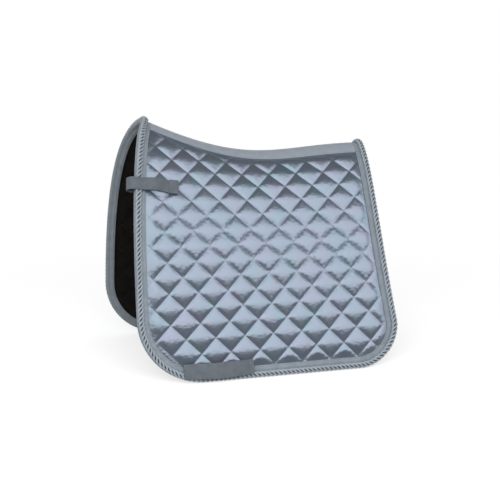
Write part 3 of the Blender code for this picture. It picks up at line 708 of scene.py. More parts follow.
def stitch_tree():
    """Lays one small thread stitch after another along lines that carry their outward direction."""
    tree, given = tree_inputs("stitches", ("Pitch", "Length", "Width"))
    lines = add_node(tree, "GeometryNodeMeshToCurve", {"Mesh": given["Geometry"]})
    places = add_node(tree, "GeometryNodeCurveToPoints", {
        "Curve": lines.outputs[0], "Length": given["Pitch"]}, mode="LENGTH")
    outward = add_node(tree, "GeometryNodeInputNamedAttribute", {"Name": "outward"}, data_type="FLOAT_VECTOR")
    turn = add_node(tree, "FunctionNodeAxesToRotation", {0: places.outputs["Tangent"], 1: outward.outputs[0]},
                    primary_axis="X", secondary_axis="Z")
    bead = add_node(tree, "GeometryNodeMeshUVSphere", {"Segments": 5, "Rings": 4, "Radius": 0.5})
    shape = add_node(tree, "ShaderNodeCombineXYZ", {0: given["Length"], 1: given["Width"], 2: given["Width"]})
    laid = add_node(tree, "GeometryNodeInstanceOnPoints", {
        "Points": places.outputs["Points"], "Instance": bead.outputs["Mesh"],
        "Rotation": turn.outputs[0], "Scale": shape.outputs[0]})
    return tree_output(tree, given, laid.outputs[0])


def grown(name, lines, tree, material, **sizes):
    """Mesh that a node tree grows along world lines; each line is (points, outward directions)."""
    points = np.concatenate([line[0] for line in lines])
    outward = np.concatenate([line[1] for line in lines])
    edges = []
    start = 0
    for line in lines:
        edges.extend((start + k, start + k + 1) for k in range(len(line[0]) - 1))
        start += len(line[0])
    host = bpy.data.meshes.new(name)
    host.from_pydata([tuple(p) for p in points], edges, [])
    host.attributes.new("outward", "FLOAT_VECTOR", "POINT").data.foreach_set("vector", outward.ravel())
    piece = bpy.data.objects.new(name, host)
    bpy.context.collection.objects.link(piece)
    modifier = piece.modifiers.new("grow", "NODES")
    modifier.node_group = tree
    values = {name.replace("_", " "): value for name, value in sizes.items()}
    values["Material"] = material
    for socket in tree.interface.items_tree:
        if socket.in_out == "INPUT" and socket.name in values:
            modifier[socket.identifier] = values[socket.name]
    return settle(piece)


def laid(pattern, n, side):
    """World points of a pattern line at height n, and the directions out of the cloth there."""
    x, t = np.asarray(pattern).T
    points = drape(x, t, n, side)
    outward = unit(drape(x, t, np.asarray(n) + SMALL_STEP, side) - points)
    return points, outward * np.sign(np.broadcast_to(n, x.shape))[:, None]


def seam_lines():
    """Pattern lines of all quilting seams, cut to the field inside the binding and the spine tape."""
    lines = []
    reach = np.arange(-SEAMS_EACH_WAY, SEAMS_EACH_WAY + 1, LINE_STEP / SEAM_SPACING)
    for k in (0, 1):
        for whole in range(-SEAMS_EACH_WAY, SEAMS_EACH_WAY + 1):
            counts = np.empty((len(reach), 2))
            counts[:, k] = whole
            counts[:, 1 - k] = reach
            places = seam_places(counts)
            inside = np.flatnonzero(inside_ring(places, field_ring))
            if len(inside) > 2:
                lines.append(places[inside[0]:inside[-1] + 1])
    return lines


def thread_material(name, colour):
    """Twisted thread with a slight shine."""
    material, tree, shader = new_material(name, colour, 0.55, Sheen_Weight=0.2)
    place = add_node(tree, "ShaderNodeTexCoord").outputs["Object"]
    twist = noise(tree, place, 2600.0, 1.0)
    paler = tuple(min(1, 1.35 * c) for c in colour)
    tree.links.new(mixed_colour(tree, twist, colour, paler), shader.inputs["Base Color"])
    bumped(tree, shader, twist, 0.0002)
    return material


stitches = stitch_tree()
grey_thread = thread_material("grey_thread", GREY_THREAD)
black_thread = thread_material("black_thread", BLACK_THREAD)
quilting = seam_lines()


def seam_height(pattern):
    """Height of the satin along a quilting seam."""
    taper = smoothstep(distance_to_ring(pattern, field_ring) / PUFF_TAPER)
    return SATIN_AT_BORDER + (SATIN_AT_SEAM - SATIN_AT_BORDER) * taper + THREAD_LIFT


for side_name, side in SIDES.items():
    for face, facing, thread, slot in (("quilting", 1, grey_thread, "satin"),
                                       ("lining", -1, black_thread, "lining")):
        lines = [laid(line, facing * seam_height(line), side) for line in quilting]
        sewing = grown(f"{face}_thread_{side_name}", lines, stitches, thread, **QUILT_STITCH)
        on_flap(sewing, side_name, slot)

# Edge binding
# A woven tape folded over the raw edges of all layers, from the ridge down the front, along the hem
# and up the rear edge, and sewn through near both of its edges.
BINDING_PROFILE = np.array([
    (24.0, 3.5), (23.6, 4.2), (22.6, 4.5), (21.4, 4.0), (20.2, 4.4), (17.5, 4.6), (14.5, 4.3), (12.0, 3.8),
    (7.5, 3.7), (5.2, 3.9), (3.6, 4.5), (2.3, 4.5), (1.2, 3.6), (0.6, 1.8), (0.45, 0.0), (0.6, -1.8),
    (1.2, -3.6), (2.6, -4.8), (4.6, -5.3), (6.6, -5.0), (8.6, -4.2), (10.6, -4.1), (12.8, -4.8), (15.0, -5.1),
    (16.6, -4.8), (17.6, -4.2), (18.6, -4.5), (19.6, -4.4), (20.0, -3.7)]) / 1000
BINDING_THICKNESS = 0.0009
BINDING_STEP = 0.003
BINDING_RIPPLE = 0.00022
BINDING_RIPPLE_LENGTH = 0.0085
BINDING_COLOUR = (0.310, 0.360, 0.410)
BINDING_PALE = (0.380, 0.435, 0.485)
BINDING_STITCH_ROWS = np.array([(21.4, 4.3), (17.6, -4.4)]) / 1000
BINDING_STITCH = {"Pitch": 0.0040, "Length": 0.0030, "Width": 0.0008}
BINDING_SWAY = 0.037
TRIM_TOP = SPINE_HALF_GAP


def ribbon(name, grid, uv, thickness, material):
    """A strip of cloth through a grid of world points, with half its thickness on each side."""
    rows, columns = grid.shape[:2]
    faces = [[i * columns + j, i * columns + j + 1, (i + 1) * columns + j + 1, (i + 1) * columns + j]
             for i in range(rows - 1) for j in range(columns - 1)]
    piece = mesh_piece(name, grid.reshape(-1, 3), faces, uv=uv.reshape(-1, 2))
    thick = piece.modifiers.new("thick", "SOLIDIFY")
    thick.thickness = thickness
    thick.offset = 0
    settle(piece)
    piece.data.materials.append(material)
    return piece


def path_lengths(points):
    steps = np.linalg.norm(np.diff(points, axis=0), axis=1)
    return np.concatenate([[0], np.cumsum(steps)])


def trim_line(d, r, step):
    """Pattern line d inside the free edge, between its two meetings with the line r below the ridge."""
    first, last = below_ridge(d, r)
    count = round((edge_s[-1] - 2 * r) / step)
    return by_edge(np.linspace(first, last, count), d)


def binding_strip(side):
    """World grid of the binding along a flap, and its places on the flat tape."""
    across = path_lengths(BINDING_PROFILE)
    lines = []
    for k, (d, n) in enumerate(BINDING_PROFILE):
        x, t = trim_line(d, TRIM_TOP, BINDING_STEP).T
        s = np.linspace(0, edge_s[-1], len(x))
        ripple = np.sin(2 * math.pi * s / BINDING_RIPPLE_LENGTH + 2 * np.sin(s / BINDING_SWAY) + k / 3)
        lines.append(drape(x, t, n + BINDING_RIPPLE * ripple * abs(n) / BINDING_PROFILE[0, 1], side))
    grid = np.stack(lines, 1)
    s = np.linspace(0, edge_s[-1], len(grid))
    return grid, np.stack(np.broadcast_arrays(s[:, None], across[None]), -1)


WAVE_SCALE = math.pi / 10


def ribbed_cloth(name, colour, pale, roughness, rib, weft, depth, **sockets):
    """Woven tape: ribs across it, a rib's width in metres along, with finer weft and a changing tint."""
    material, tree, shader = new_material(name, colour, roughness, **sockets)
    ribs = add_node(tree, "ShaderNodeTexWave", {"Vector": cloth_place(tree), "Scale": WAVE_SCALE / rib,
                                                "Distortion": 0.6, "Detail": 1.0, "Detail Scale": 2.0})
    ribs.bands_direction = "X"
    threads = noise(tree, cloth_place(tree, stretch=(0.4 / weft, 1 / weft, 1)), 1.0, 2.0)
    mottle = noise(tree, cloth_place(tree), 55.0, 4.0)
    tint = mixed_colour(tree, mottle, colour, pale)
    tint = mixed_colour(tree, threads, tint, pale, 0.5, 0.9)
    tree.links.new(tint, shader.inputs["Base Color"])
    bumped(tree, shader, threads, depth / 2)
    bumped(tree, shader, ribs.outputs["Fac"], depth)
    return material


grey_binding = ribbed_cloth("grey_binding", BINDING_COLOUR, BINDING_PALE, 0.5, 0.0011, 0.0004, 0.0002,
                            Sheen_Weight=0.15)
for side_name, side in SIDES.items():
    grid, uv = binding_strip(side)
    tape = ribbon(f"binding_tape_{side_name}", grid, uv, BINDING_THICKNESS, grey_binding)
    on_flap(tape, side_name, "binding", "edge_binding")
    rows = []
    for d, n in BINDING_STITCH_ROWS:
        rows.append(laid(trim_line(d, TRIM_TOP, LINE_STEP), n + np.sign(n) * BINDING_THICKNESS / 2, side))
    sewing = grown(f"binding_thread_{side_name}", rows, stitches, grey_thread, **BINDING_STITCH)
    on_flap(sewing, side_name, "binding")

# Rope trim
# A glossy flat three-strand cord laid along the outer edge of the binding and sewn down on it.
# It runs unbroken round both flaps and over the two ends of the spine.
ROPE_INSET = 0.0072
ROPE_CENTRE = 0.0089
ROPE_DIAMETER = 0.0094
ROPE_LAY = 0.0285
ROPE_STEP = 0.0018
STRANDS = 3
ROPE_SPREAD = 2.0
STRAND_SIDES = 12
STRAND_OFFSET = 0.0021
STRAND_RADIUS = ROPE_DIAMETER / 2 - STRAND_OFFSET
ROPE_COLOUR = (0.385, 0.450, 0.515)
ROPE_PALE = (0.490, 0.555, 0.620)
# Painted shade: the rope's colour is darkened towards the grooves between its strands, fading out between
# these two crown measures.
ROPE_GROOVE_PAINTED_SHADE = (0.085, 0.100, 0.120)
ROPE_PAINTED_SHADE_SPAN = (0.72, 1.02)
YARNS_PER_METRE = 330.0
YARNS_AROUND = 9.0
RIDGE_ROUND = 0.014
PEAK_STEP = 0.0025


def rounded_ridge(line, r):
    """World points of a line r across the ridge, left to right, with the ridge rounded over.

    line(depth, side) gives the points of the same line at a depth below the ridge.
    """
    if abs(r) >= RIDGE_ROUND:
        return line(abs(r), LEFT if r < 0 else RIGHT)
    left = line(RIDGE_ROUND, LEFT)
    right = line(RIDGE_ROUND, RIGHT)
    below = line(RIDGE_ROUND + SMALL_STEP, RIGHT)
    slope = (right - below)[:, 2] / (below - right)[:, 1]
    share = r / RIDGE_ROUND
    points = (left + right) / 2 + share * (right - left) / 2
    points[:, 2] += (1 - share**2) * slope * (right - left)[:, 1] / 4
    return points


FRONT_END = 0
REAR_END = 1


def peak_line(end, profile):
    """Function that gives a trim profile's points at a depth below the ridge, at one end of the spine."""
    def line(depth, side):
        pattern = np.array([by_edge(below_ridge(d, depth)[end], d) for d in profile[:, 0]])
        return drape(*pattern.T, profile[:, 1], side)
    return line


def over_peak(end, profile):
    """World grid of a trim profile carried over one end of the spine, left to right."""
    line = peak_line(end, profile)
    across = np.linspace(-TRIM_TOP, TRIM_TOP, round(2 * TRIM_TOP / PEAK_STEP) + 1)
    return np.stack([rounded_ridge(line, r) for r in across])


def rope_tree():
    """Strands twisted about a line that carries its outward direction."""
    tree, given = tree_inputs("twisted_rope", ("Lay", "Turn", "Step", "Strand Offset", "Strand Radius",
                                               "Spread"))
    line = add_node(tree, "GeometryNodeMeshToCurve", {"Mesh": given["Geometry"]})
    even = add_node(tree, "GeometryNodeResampleCurve", {"Curve": line.outputs[0], "Length": given["Step"]},
                    mode="LENGTH")
    position = add_node(tree, "GeometryNodeInputPosition").outputs[0]
    middle = add_node(tree, "GeometryNodeStoreNamedAttribute", {
        "Geometry": even.outputs[0], "Name": "middle", "Value": position}, data_type="FLOAT_VECTOR",
        domain="POINT")
    strands = add_node(tree, "GeometryNodeDuplicateElements", {
        "Geometry": middle.outputs[0], "Amount": STRANDS}, domain="SPLINE")
    length = add_node(tree, "GeometryNodeSplineParameter").outputs["Length"]
    turns = calculated(tree, "DIVIDE", length, given["Lay"])
    share = calculated(tree, "DIVIDE", strands.outputs["Duplicate Index"], STRANDS)
    turns = calculated(tree, "ADD", calculated(tree, "ADD", turns, given["Turn"]), share)
    angle = calculated(tree, "MULTIPLY", turns, math.tau)
    outward = add_node(tree, "GeometryNodeInputNamedAttribute", {"Name": "outward"},
                       data_type="FLOAT_VECTOR").outputs[0]
    tangent = add_node(tree, "GeometryNodeInputTangent").outputs[0]
    aside = add_node(tree, "ShaderNodeVectorMath", {0: tangent, 1: outward},
                     operation="CROSS_PRODUCT").outputs[0]
    lift = calculated(tree, "COSINE", angle)
    swing = calculated(tree, "MULTIPLY", calculated(tree, "SINE", angle), given["Spread"])
    up = add_node(tree, "ShaderNodeVectorMath", {0: outward, "Scale": lift}, operation="SCALE").outputs[0]
    over = add_node(tree, "ShaderNodeVectorMath", {0: aside, "Scale": swing}, operation="SCALE").outputs[0]
    away = add_node(tree, "ShaderNodeVectorMath", {0: up, 1: over}, operation="ADD").outputs[0]
    away = add_node(tree, "ShaderNodeVectorMath", {0: away, "Scale": given["Strand Offset"]},
                    operation="SCALE").outputs[0]
    wound = add_node(tree, "GeometryNodeSetPosition", {
        "Geometry": strands.outputs["Geometry"], "Offset": away})
    along = add_node(tree, "GeometryNodeStoreNamedAttribute", {
        "Geometry": wound.outputs[0], "Name": "along", "Value": length}, data_type="FLOAT", domain="POINT")
    ring = add_node(tree, "GeometryNodeCurvePrimitiveCircle", {"Resolution": STRAND_SIDES,
                                                               "Radius": given["Strand Radius"]})
    factor = add_node(tree, "GeometryNodeSplineParameter").outputs["Factor"]
    around = add_node(tree, "GeometryNodeStoreNamedAttribute", {
        "Geometry": ring.outputs[0], "Name": "around", "Value": factor}, data_type="FLOAT", domain="POINT")
    skin = add_node(tree, "GeometryNodeCurveToMesh", {
        "Curve": along.outputs[0], "Profile Curve": around.outputs[0], "Fill Caps": True})
    # The crown measure, how far each point stands out from the rope's middle, is stored as the mask for the
    # shade painted into the grooves.
    middle = add_node(tree, "GeometryNodeInputNamedAttribute", {"Name": "middle"}, data_type="FLOAT_VECTOR")
    depth = add_node(tree, "ShaderNodeVectorMath", {0: position, 1: middle.outputs[0]}, operation="DISTANCE")
    top = calculated(tree, "ADD", given["Strand Offset"], given["Strand Radius"])
    crown = calculated(tree, "DIVIDE", depth.outputs["Value"], top)
    crowned = add_node(tree, "GeometryNodeStoreNamedAttribute", {
        "Geometry": skin.outputs[0], "Name": "crown", "Value": crown}, data_type="FLOAT", domain="POINT")
    return tree_output(tree, given, crowned.outputs[0])


def rope_material():
    """Glossy rayon cord, with its yarns laid slantwise in every strand, and shade painted into its grooves.
    """
    material, tree, shader = new_material("grey_rope", ROPE_COLOUR, 0.42, Sheen_Weight=0.2, IOR=1.55)
    along = add_node(tree, "ShaderNodeAttribute", attribute_name="along").outputs["Fac"]
    around = add_node(tree, "ShaderNodeAttribute", attribute_name="around").outputs["Fac"]
    slant = calculated(tree, "MULTIPLY", around, YARNS_AROUND)
    yarns = calculated(tree, "ADD", calculated(tree, "MULTIPLY", along, YARNS_PER_METRE), slant)
    yarns = calculated(tree, "SINE", calculated(tree, "MULTIPLY", yarns, math.tau))
    place = add_node(tree, "ShaderNodeTexCoord").outputs["Object"]
    tint = mixed_colour(tree, noise(tree, place, 220.0, 3.0), ROPE_COLOUR, ROPE_PALE)
    crown = add_node(tree, "ShaderNodeAttribute", attribute_name="crown").outputs["Fac"]
    # Painted shade: where the crown measure is low, in the grooves between the strands, the colour goes to
    # the dark groove shade.
    tint = mixed_colour(tree, crown, ROPE_GROOVE_PAINTED_SHADE, tint, *ROPE_PAINTED_SHADE_SPAN)
    tree.links.new(tint, shader.inputs["Base Color"])
    bumped(tree, shader, yarns, 0.00012)
    return material


twist = rope_tree()
grey_rope = rope_material()
rope_profile = np.array([(ROPE_INSET, ROPE_CENTRE)])


def rope_over_peak(end):
    """World line of the rope over one end of the spine, and its outward directions."""
    higher = over_peak(end, rope_profile + [0, SMALL_STEP])[:, 0]
    points = over_peak(end, rope_profile)[:, 0]
    return points, unit(higher - points)


def rope_run():
    """The rope's four stretches in order round the pad, each as (piece name, points, outward)."""
    pattern = trim_line(ROPE_INSET, TRIM_TOP, ROPE_STEP)
    left = laid(pattern, ROPE_CENTRE, LEFT)
    right = laid(pattern[::-1], ROPE_CENTRE, RIGHT)
    rear = rope_over_peak(REAR_END)
    front = rope_over_peak(FRONT_END)
    return (("left", *left), ("cantle", *rear), ("right", *right), ("pommel", front[0][::-1], front[1][::-1]))


def riding(piece, body, slot, *nodes):
    """A finished piece that moves with one body and takes the place of the named solids."""
    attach(piece, body)
    if nodes:
        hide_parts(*nodes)


rope_stretches = rope_run()
rope_lengths = [path_lengths(points)[-1] for name, points, outward in rope_stretches]
whole_turns = round(sum(rope_lengths) / ROPE_LAY)
rope_lay = sum(rope_lengths) / whole_turns
gone = 0
for (name, points, outward), length in zip(rope_stretches, rope_lengths):
    rope = grown(f"twisted_rope_{name}", [(points, outward)], twist, grey_rope, Lay=rope_lay,
                 Turn=gone / rope_lay, Step=ROPE_STEP, Strand_Offset=STRAND_OFFSET,
                 Strand_Radius=STRAND_RADIUS, Spread=ROPE_SPREAD)
    gone += length
    if name in SIDES:
        on_flap(rope, name, "rope", "rope_trim")
    else:
        riding(rope, "spine", "rope", f"{name}_rope")

# Ends of the spine
# The same binding tape, carried over the ridge at the pommel and at the cantle.
for name, end in (("pommel", FRONT_END), ("cantle", REAR_END)):
    grid = over_peak(end, BINDING_PROFILE)
    across = path_lengths(grid[:, 0])
    uv = np.stack(np.broadcast_arrays(across[:, None], path_lengths(BINDING_PROFILE)[None]), -1)
    tape = ribbon(f"{name}_binding_tape", grid, uv, BINDING_THICKNESS, grey_binding)
    riding(tape, "spine", "binding", f"{name}_binding")

# Spine tapes and seam
# A smooth satin tape covers the seam between the halves outside, a binding tape covers it inside,
# and between them lies the seam itself, a narrow strip of both halves' layers sewn together.
SPINE_TAPE_HALF = 0.0385
SPINE_LINING_HALF = 0.0375
SPINE_TAPE_THICKNESS = 0.0009
SPINE_TAPE_HEIGHT = 0.0037
SPINE_TAPE_CROWN = 0.0010
SPINE_TAPE_STITCH = 0.0355
SPINE_TAPE_DIP = 0.0005
SPINE_TAPE_DIP_WIDTH = 0.0012
RIDGE_STITCH = {"Pitch": 0.0042, "Length": 0.0032, "Width": 0.0007}
SPINE_STEP = 0.004
TAPE_LINES = 33
TAPE_INSET = 0.022
SEAM_HALF_WIDTH = 0.003
SEAM_THICKNESS = 0.0044
TAPE_COLOUR = (0.405, 0.460, 0.530)
TAPE_PALE = (0.450, 0.505, 0.575)


def spine_line_at(n, inset):
    """Function that gives a lengthwise line of the spine at a depth below the ridge."""
    def line(depth, side):
        first, last = below_ridge(inset, depth)
        front = by_edge(first, inset)[0]
        rear = by_edge(last, inset)[0]
        x = np.linspace(front, rear, round((SPINE_REAR[0] - SPINE_FRONT[0]) / SPINE_STEP))
        return drape(x, cloth_length(x) - depth, n, side)
    return line


def spine_strip(half, height, inset):
    """World grid of a strip along the ridge, and its places on the flat tape; height(r) is its n."""
    across = np.linspace(-half, half, TAPE_LINES)
    grid = np.stack([rounded_ridge(spine_line_at(height(r), inset), r) for r in across], 1)
    along = path_lengths(grid[:, TAPE_LINES // 2])
    return grid, np.stack(np.broadcast_arrays(along[:, None], across[None]), -1)


def tape_height(r):
    """Height of the outer tape: slightly crowned, and drawn down where it is stitched."""
    dip = SPINE_TAPE_DIP * math.exp(-((abs(r) - SPINE_TAPE_STITCH) / SPINE_TAPE_DIP_WIDTH) ** 2)
    return SPINE_TAPE_HEIGHT + SPINE_TAPE_CROWN * (1 - (r / SPINE_TAPE_HALF) ** 2) - dip


satin_tape = ribbed_cloth("satin_tape", TAPE_COLOUR, TAPE_PALE, 0.4, 0.0007, 0.0003, 0.0001,
                          Sheen_Weight=0.15, IOR=1.55)
for name, node, half, height, cloth, slot in (
        ("ridge_tape", "spine_tape", SPINE_TAPE_HALF, tape_height, satin_tape, "spine_tape"),
        ("ridge_lining_tape", "spine_lining_tape", SPINE_LINING_HALF, lambda r: -SPINE_TAPE_HEIGHT,
         grey_binding, "binding")):
    grid, uv = spine_strip(half, height, TAPE_INSET)
    tape = ribbon(name, grid, uv, SPINE_TAPE_THICKNESS, cloth)
    riding(tape, "spine", slot, node)
    path_lengths(grid[:, TAPE_LINES // 2])[-1]
grid, uv = spine_strip(SEAM_HALF_WIDTH, lambda r: 0.0, PANEL_INSET)
seam = ribbon("ridge_seam", grid, uv, SEAM_THICKNESS, white_wadding)
riding(seam, "spine", "wadding", "spine_seam")
rows = []
for r in (-SPINE_TAPE_STITCH, SPINE_TAPE_STITCH):
    for facing in (1, -1):
        n = facing * (SPINE_TAPE_HEIGHT + SPINE_TAPE_THICKNESS / 2)
        points = rounded_ridge(spine_line_at(n, TAPE_INSET), r)
        higher = rounded_ridge(spine_line_at(n + facing * SMALL_STEP, TAPE_INSET), r)
        rows.append((points, unit(higher - points)))
sewing = grown("ridge_thread", rows, stitches, grey_thread, **RIDGE_STITCH)
riding(sewing, "spine", "spine_tape")

# Girth straps
# A loop of ribbed polyester webbing on each hem, sewn down by two rows of stitches at both ends and
# bowed off the pad between them, so that the girth passes through.
GIRTH_FRONT_X = -0.1965
GIRTH_LENGTH = 0.151
GIRTH_WIDTH = 0.030
GIRTH_FOOT = 0.010
GIRTH_BOW = 0.0125
GIRTH_HEIGHT = 0.01495
GIRTH_LEAN_IN = 0.0042
GIRTH_LEAN_START = 0.55
GIRTH_ROWS = (0.003, 0.008)
ROW_INSET = 0.0015
ROW_STEP = 0.001
STRAP_STITCH = {"Pitch": 0.0028, "Length": 0.0024, "Width": 0.0007}
WEBBING_THICKNESS = 0.0015
WEBBING_COLOUR = (0.150, 0.172, 0.196)
WEBBING_PALE = (0.190, 0.217, 0.245)
STRAP_STEP = 0.003
WIDTH_LINES = 11
EDGE_ROUNDING = 0.0004


def webbing(name, grid, uv, thickness=WEBBING_THICKNESS):
    """A webbing strip with rounded edges."""
    piece = ribbon(name, grid, uv, thickness, grey_webbing)
    rounded = piece.modifiers.new("rounded", "BEVEL")
    rounded.width = EDGE_ROUNDING
    rounded.segments = 2
    rounded.limit_method = "ANGLE"
    rounded.angle_limit = math.radians(50)
    return settle(piece)


def girth_place(along, across, lift, side):
    """World points of the girth strap at lengths along and across it, lift above its middle."""
    share = along / GIRTH_LENGTH
    lean = GIRTH_LEAN_IN * smoothstep((across / GIRTH_WIDTH - GIRTH_LEAN_START) / (1 - GIRTH_LEAN_START))
    n = GIRTH_HEIGHT - lean + GIRTH_BOW * np.sin(math.pi * share) ** 2 + lift
    return drape(GIRTH_FRONT_X + along, GIRTH_FOOT + across, n, side)


def strap_grid(place, length, width):
    """World grid of a strap and its places on the flat webbing."""
    along, across = np.meshgrid(np.linspace(0, length, round(length / STRAP_STEP) + 1),
                                np.linspace(0, width, WIDTH_LINES), indexing="ij")
    grid = place(along.ravel(), across.ravel(), 0.0)
    return grid.reshape(*along.shape, 3), np.stack([along, across], -1)


def strap_row(place, starts, ends, lift):
    """World line of stitches on a strap between two (along, across) places, with its outward directions."""
    count = max(3, round(math.dist(starts, ends) / ROW_STEP))
    along, across = np.linspace(starts, ends, count).T
    points = place(along, across, lift)
    return points, unit(place(along, across, lift + math.copysign(SMALL_STEP, lift)) - points)


def sewn_on_strap(name, rows, body):
    """Rows of thread on a strap."""
    riding(grown(name, rows, stitches, grey_thread, **STRAP_STITCH), body, "webbing")


grey_webbing = ribbed_cloth("grey_webbing", WEBBING_COLOUR, WEBBING_PALE, 0.68, 0.0014, 0.0006, 0.0003,
                            Sheen_Weight=0.1)
for side_name, side in SIDES.items():
    def place(along, across, lift, side=side):
        return girth_place(along, across, lift, side)

    strap = webbing(f"girth_webbing_{side_name}", *strap_grid(place, GIRTH_LENGTH, GIRTH_WIDTH))
    riding(strap, f"{side_name}_flap", "webbing", f"girth_strap_{side_name}")
    rows = [strap_row(place, (along, ROW_INSET), (along, GIRTH_WIDTH - ROW_INSET),
                      WEBBING_THICKNESS / 2 + THREAD_LIFT)
            for inset in GIRTH_ROWS for along in (inset, GIRTH_LENGTH - inset)]
    sewn_on_strap(f"girth_thread_{side_name}", rows, f"{side_name}_flap")

# Billet strap
# Webbing on the left flap, sewn down in a folded end band, bowed to the front edge and bent round it.
# Its tab lies on the lining and closes there by hook and loop, so that it opens to take a billet.
BILLET_HEIGHT = 0.418
BILLET_WIDTH = 0.026
BILLET_LENGTH = 0.0905
BILLET_PATCH = 0.022
BILLET_BOW = 0.007
BILLET_TOP = 0.01495
BILLET_END_TOP = 0.0125
TAB_HEIGHT = -0.01325
TAB_LENGTH = 0.066
BEND_LEAD = 0.002
ROPE_OUTER = ROPE_INSET + ROPE_DIAMETER / 2
BAND_UNDER = 0.0106
BAND_OVER = 0.0142
BAND_LENGTH = 0.019
BAND_WIDTH = 0.0295
BAND_THICKNESS = 0.0011
BAND_ROWS = (0.0022, 0.0055, 0.0165)
TAB_ROW_INSET = 0.0035
HOOK_START = 0.030
HOOK_LENGTH = 0.030
HOOK_WIDTH = 0.022
STRIP_THICKNESS = 0.0007
HOOK_MIDDLE = -0.01185
LOOP_MIDDLE = -0.00925
PILE_PITCH = 0.0016
PILE_THICKNESS = 0.0001
HOOK_RADIUS = 0.00035
HOOK_SWEEP = 4.2
LOOP_RADIUS = 0.00045
LOOP_SWEEP = math.pi
HOOK_COLOUR = (0.030, 0.030, 0.035)
HOOK_PALE = (0.050, 0.050, 0.056)
RUN_POINTS = 40
BEND_POINTS = 28
END_POINTS = 8
FLAT_POINTS = 24
TURN_POINTS = 12


def billet_frame():
    """Pattern place of the billet strap at the front edge, and the directions inwards and along the edge."""
    front = slice(0, CURVE_SAMPLES)
    s = np.interp(-BILLET_HEIGHT, -edge_points[front, 1], edge_s[front])
    start = by_edge(s, 0)
    inward = by_edge(s, 1) - start
    return start, inward, np.array([-inward[1], inward[0]])


billet_start, billet_inward, billet_along = billet_frame()


def billet_section():
    """Section (d, n) of the outer run from its sewn end, bowed off the flap, and of the bend."""
    run_end = BILLET_LENGTH - BILLET_PATCH
    run = [(d, BILLET_END_TOP) for d in np.linspace(BILLET_LENGTH, run_end, END_POINTS)[:-1]]
    for share in np.linspace(1, 0, RUN_POINTS):
        d = ROPE_OUTER + (run_end - ROPE_OUTER) * share
        base = BILLET_TOP + (BILLET_END_TOP - BILLET_TOP) * smoothstep(share)
        run.append((d, base + BILLET_BOW * math.sin(math.pi * share) ** 2))
    radius = (BILLET_TOP - TAB_HEIGHT) / 2
    centre = (BILLET_TOP + TAB_HEIGHT) / 2
    for angle in np.linspace(0, math.pi, BEND_POINTS):
        run.append((-BEND_LEAD - radius * math.sin(angle), centre + radius * math.cos(angle)))
    return np.array(run)


def section_place(section, side):
    """Function that gives world points at lengths along a strap section and across the strap."""
    lengths = path_lengths(section)
    forward = unit(np.gradient(section, lengths, axis=0))
    up = np.column_stack([forward[:, 1], -forward[:, 0]])

    def place(along, across, lift):
        d, n = (np.interp(along, lengths, section[:, k]) + lift * np.interp(along, lengths, up[:, k])
                for k in (0, 1))
        x, t = (billet_start + d[:, None] * billet_inward + across[:, None] * billet_along).T
        return drape(x, t, n, side)
    return place, lengths[-1]


def billet_piece(name, section, width, side, thickness=WEBBING_THICKNESS):
    """A strap piece along a section, centred on the billet strap's line."""
    place, length = section_place(section, side)

    def centred(along, across, lift):
        return place(along, across - width / 2, lift)

    return webbing(name, *strap_grid(centred, length, width), thickness), centred


def flat_section(start, end, n):
    """Section (d, n) that lies level at height n."""
    return np.column_stack([np.linspace(start, end, FLAT_POINTS), np.full(FLAT_POINTS, n)])


def band_section():
    """Section (d, n) of the end band: under the strap's end, round it and back over it."""
    front = BILLET_LENGTH - BAND_LENGTH
    radius = (BAND_OVER - BAND_UNDER) / 2
    under = flat_section(front, BILLET_LENGTH, BAND_UNDER)
    turn = np.linspace(-math.pi / 2, math.pi / 2, TURN_POINTS)[1:-1]
    round_end = np.column_stack([BILLET_LENGTH + radius * np.cos(turn),
                                 BAND_UNDER + radius + radius * np.sin(turn)])
    return np.concatenate([under, round_end, flat_section(BILLET_LENGTH, front, BAND_OVER)])


def pile_tree():
    """Small arches of plastic or yarn that stand along lines which carry their outward direction."""
    tree, given = tree_inputs("fastener_pile", ("Pitch", "Radius", "Sweep", "Thickness"))
    lines = add_node(tree, "GeometryNodeMeshToCurve", {"Mesh": given["Geometry"]})
    places = add_node(tree, "GeometryNodeCurveToPoints", {
        "Curve": lines.outputs[0], "Length": given["Pitch"]}, mode="LENGTH")
    outward = add_node(tree, "GeometryNodeInputNamedAttribute", {"Name": "outward"}, data_type="FLOAT_VECTOR")
    turn = add_node(tree, "FunctionNodeAxesToRotation", {0: outward.outputs[0], 1: places.outputs["Tangent"]},
                    primary_axis="Y", secondary_axis="X")
    spin = add_node(tree, "FunctionNodeRandomValue", {2: -0.6, 3: 0.6, "Seed": 5}, data_type="FLOAT")
    about = add_node(tree, "ShaderNodeCombineXYZ", {1: spin.outputs[1]})
    turn = add_node(tree, "FunctionNodeRotateRotation", {0: turn.outputs[0], 1: about.outputs[0]},
                    rotation_space="LOCAL")
    arch = add_node(tree, "GeometryNodeCurveArc", {"Resolution": 6, "Radius": given["Radius"],
                                                   "Sweep Angle": given["Sweep"]})
    yarn = add_node(tree, "GeometryNodeCurvePrimitiveCircle", {"Resolution": 4, "Radius": given["Thickness"]})
    shape = add_node(tree, "GeometryNodeCurveToMesh", {
        "Curve": arch.outputs[0], "Profile Curve": yarn.outputs[0], "Fill Caps": True})
    laid = add_node(tree, "GeometryNodeInstanceOnPoints", {
        "Points": places.outputs["Points"], "Instance": shape.outputs[0], "Rotation": turn.outputs[0]})
    return tree_output(tree, given, laid.outputs[0])


run, place = billet_piece("billet_webbing_left", billet_section(), BILLET_WIDTH, LEFT)
riding(run, "left_flap", "webbing", "billet_strap_left")

band, place = billet_piece("billet_end_band_left", band_section(), BAND_WIDTH, LEFT, BAND_THICKNESS)
riding(band, "left_flap", "webbing", "strap_end_patch_left")
band_length = path_lengths(band_section())[-1]
rows = [strap_row(place, (band_length - inset, ROW_INSET), (band_length - inset, BAND_WIDTH - ROW_INSET),
                  -BAND_THICKNESS / 2 - THREAD_LIFT) for inset in BAND_ROWS]
sewn_on_strap("billet_thread_left", rows, "left_flap")

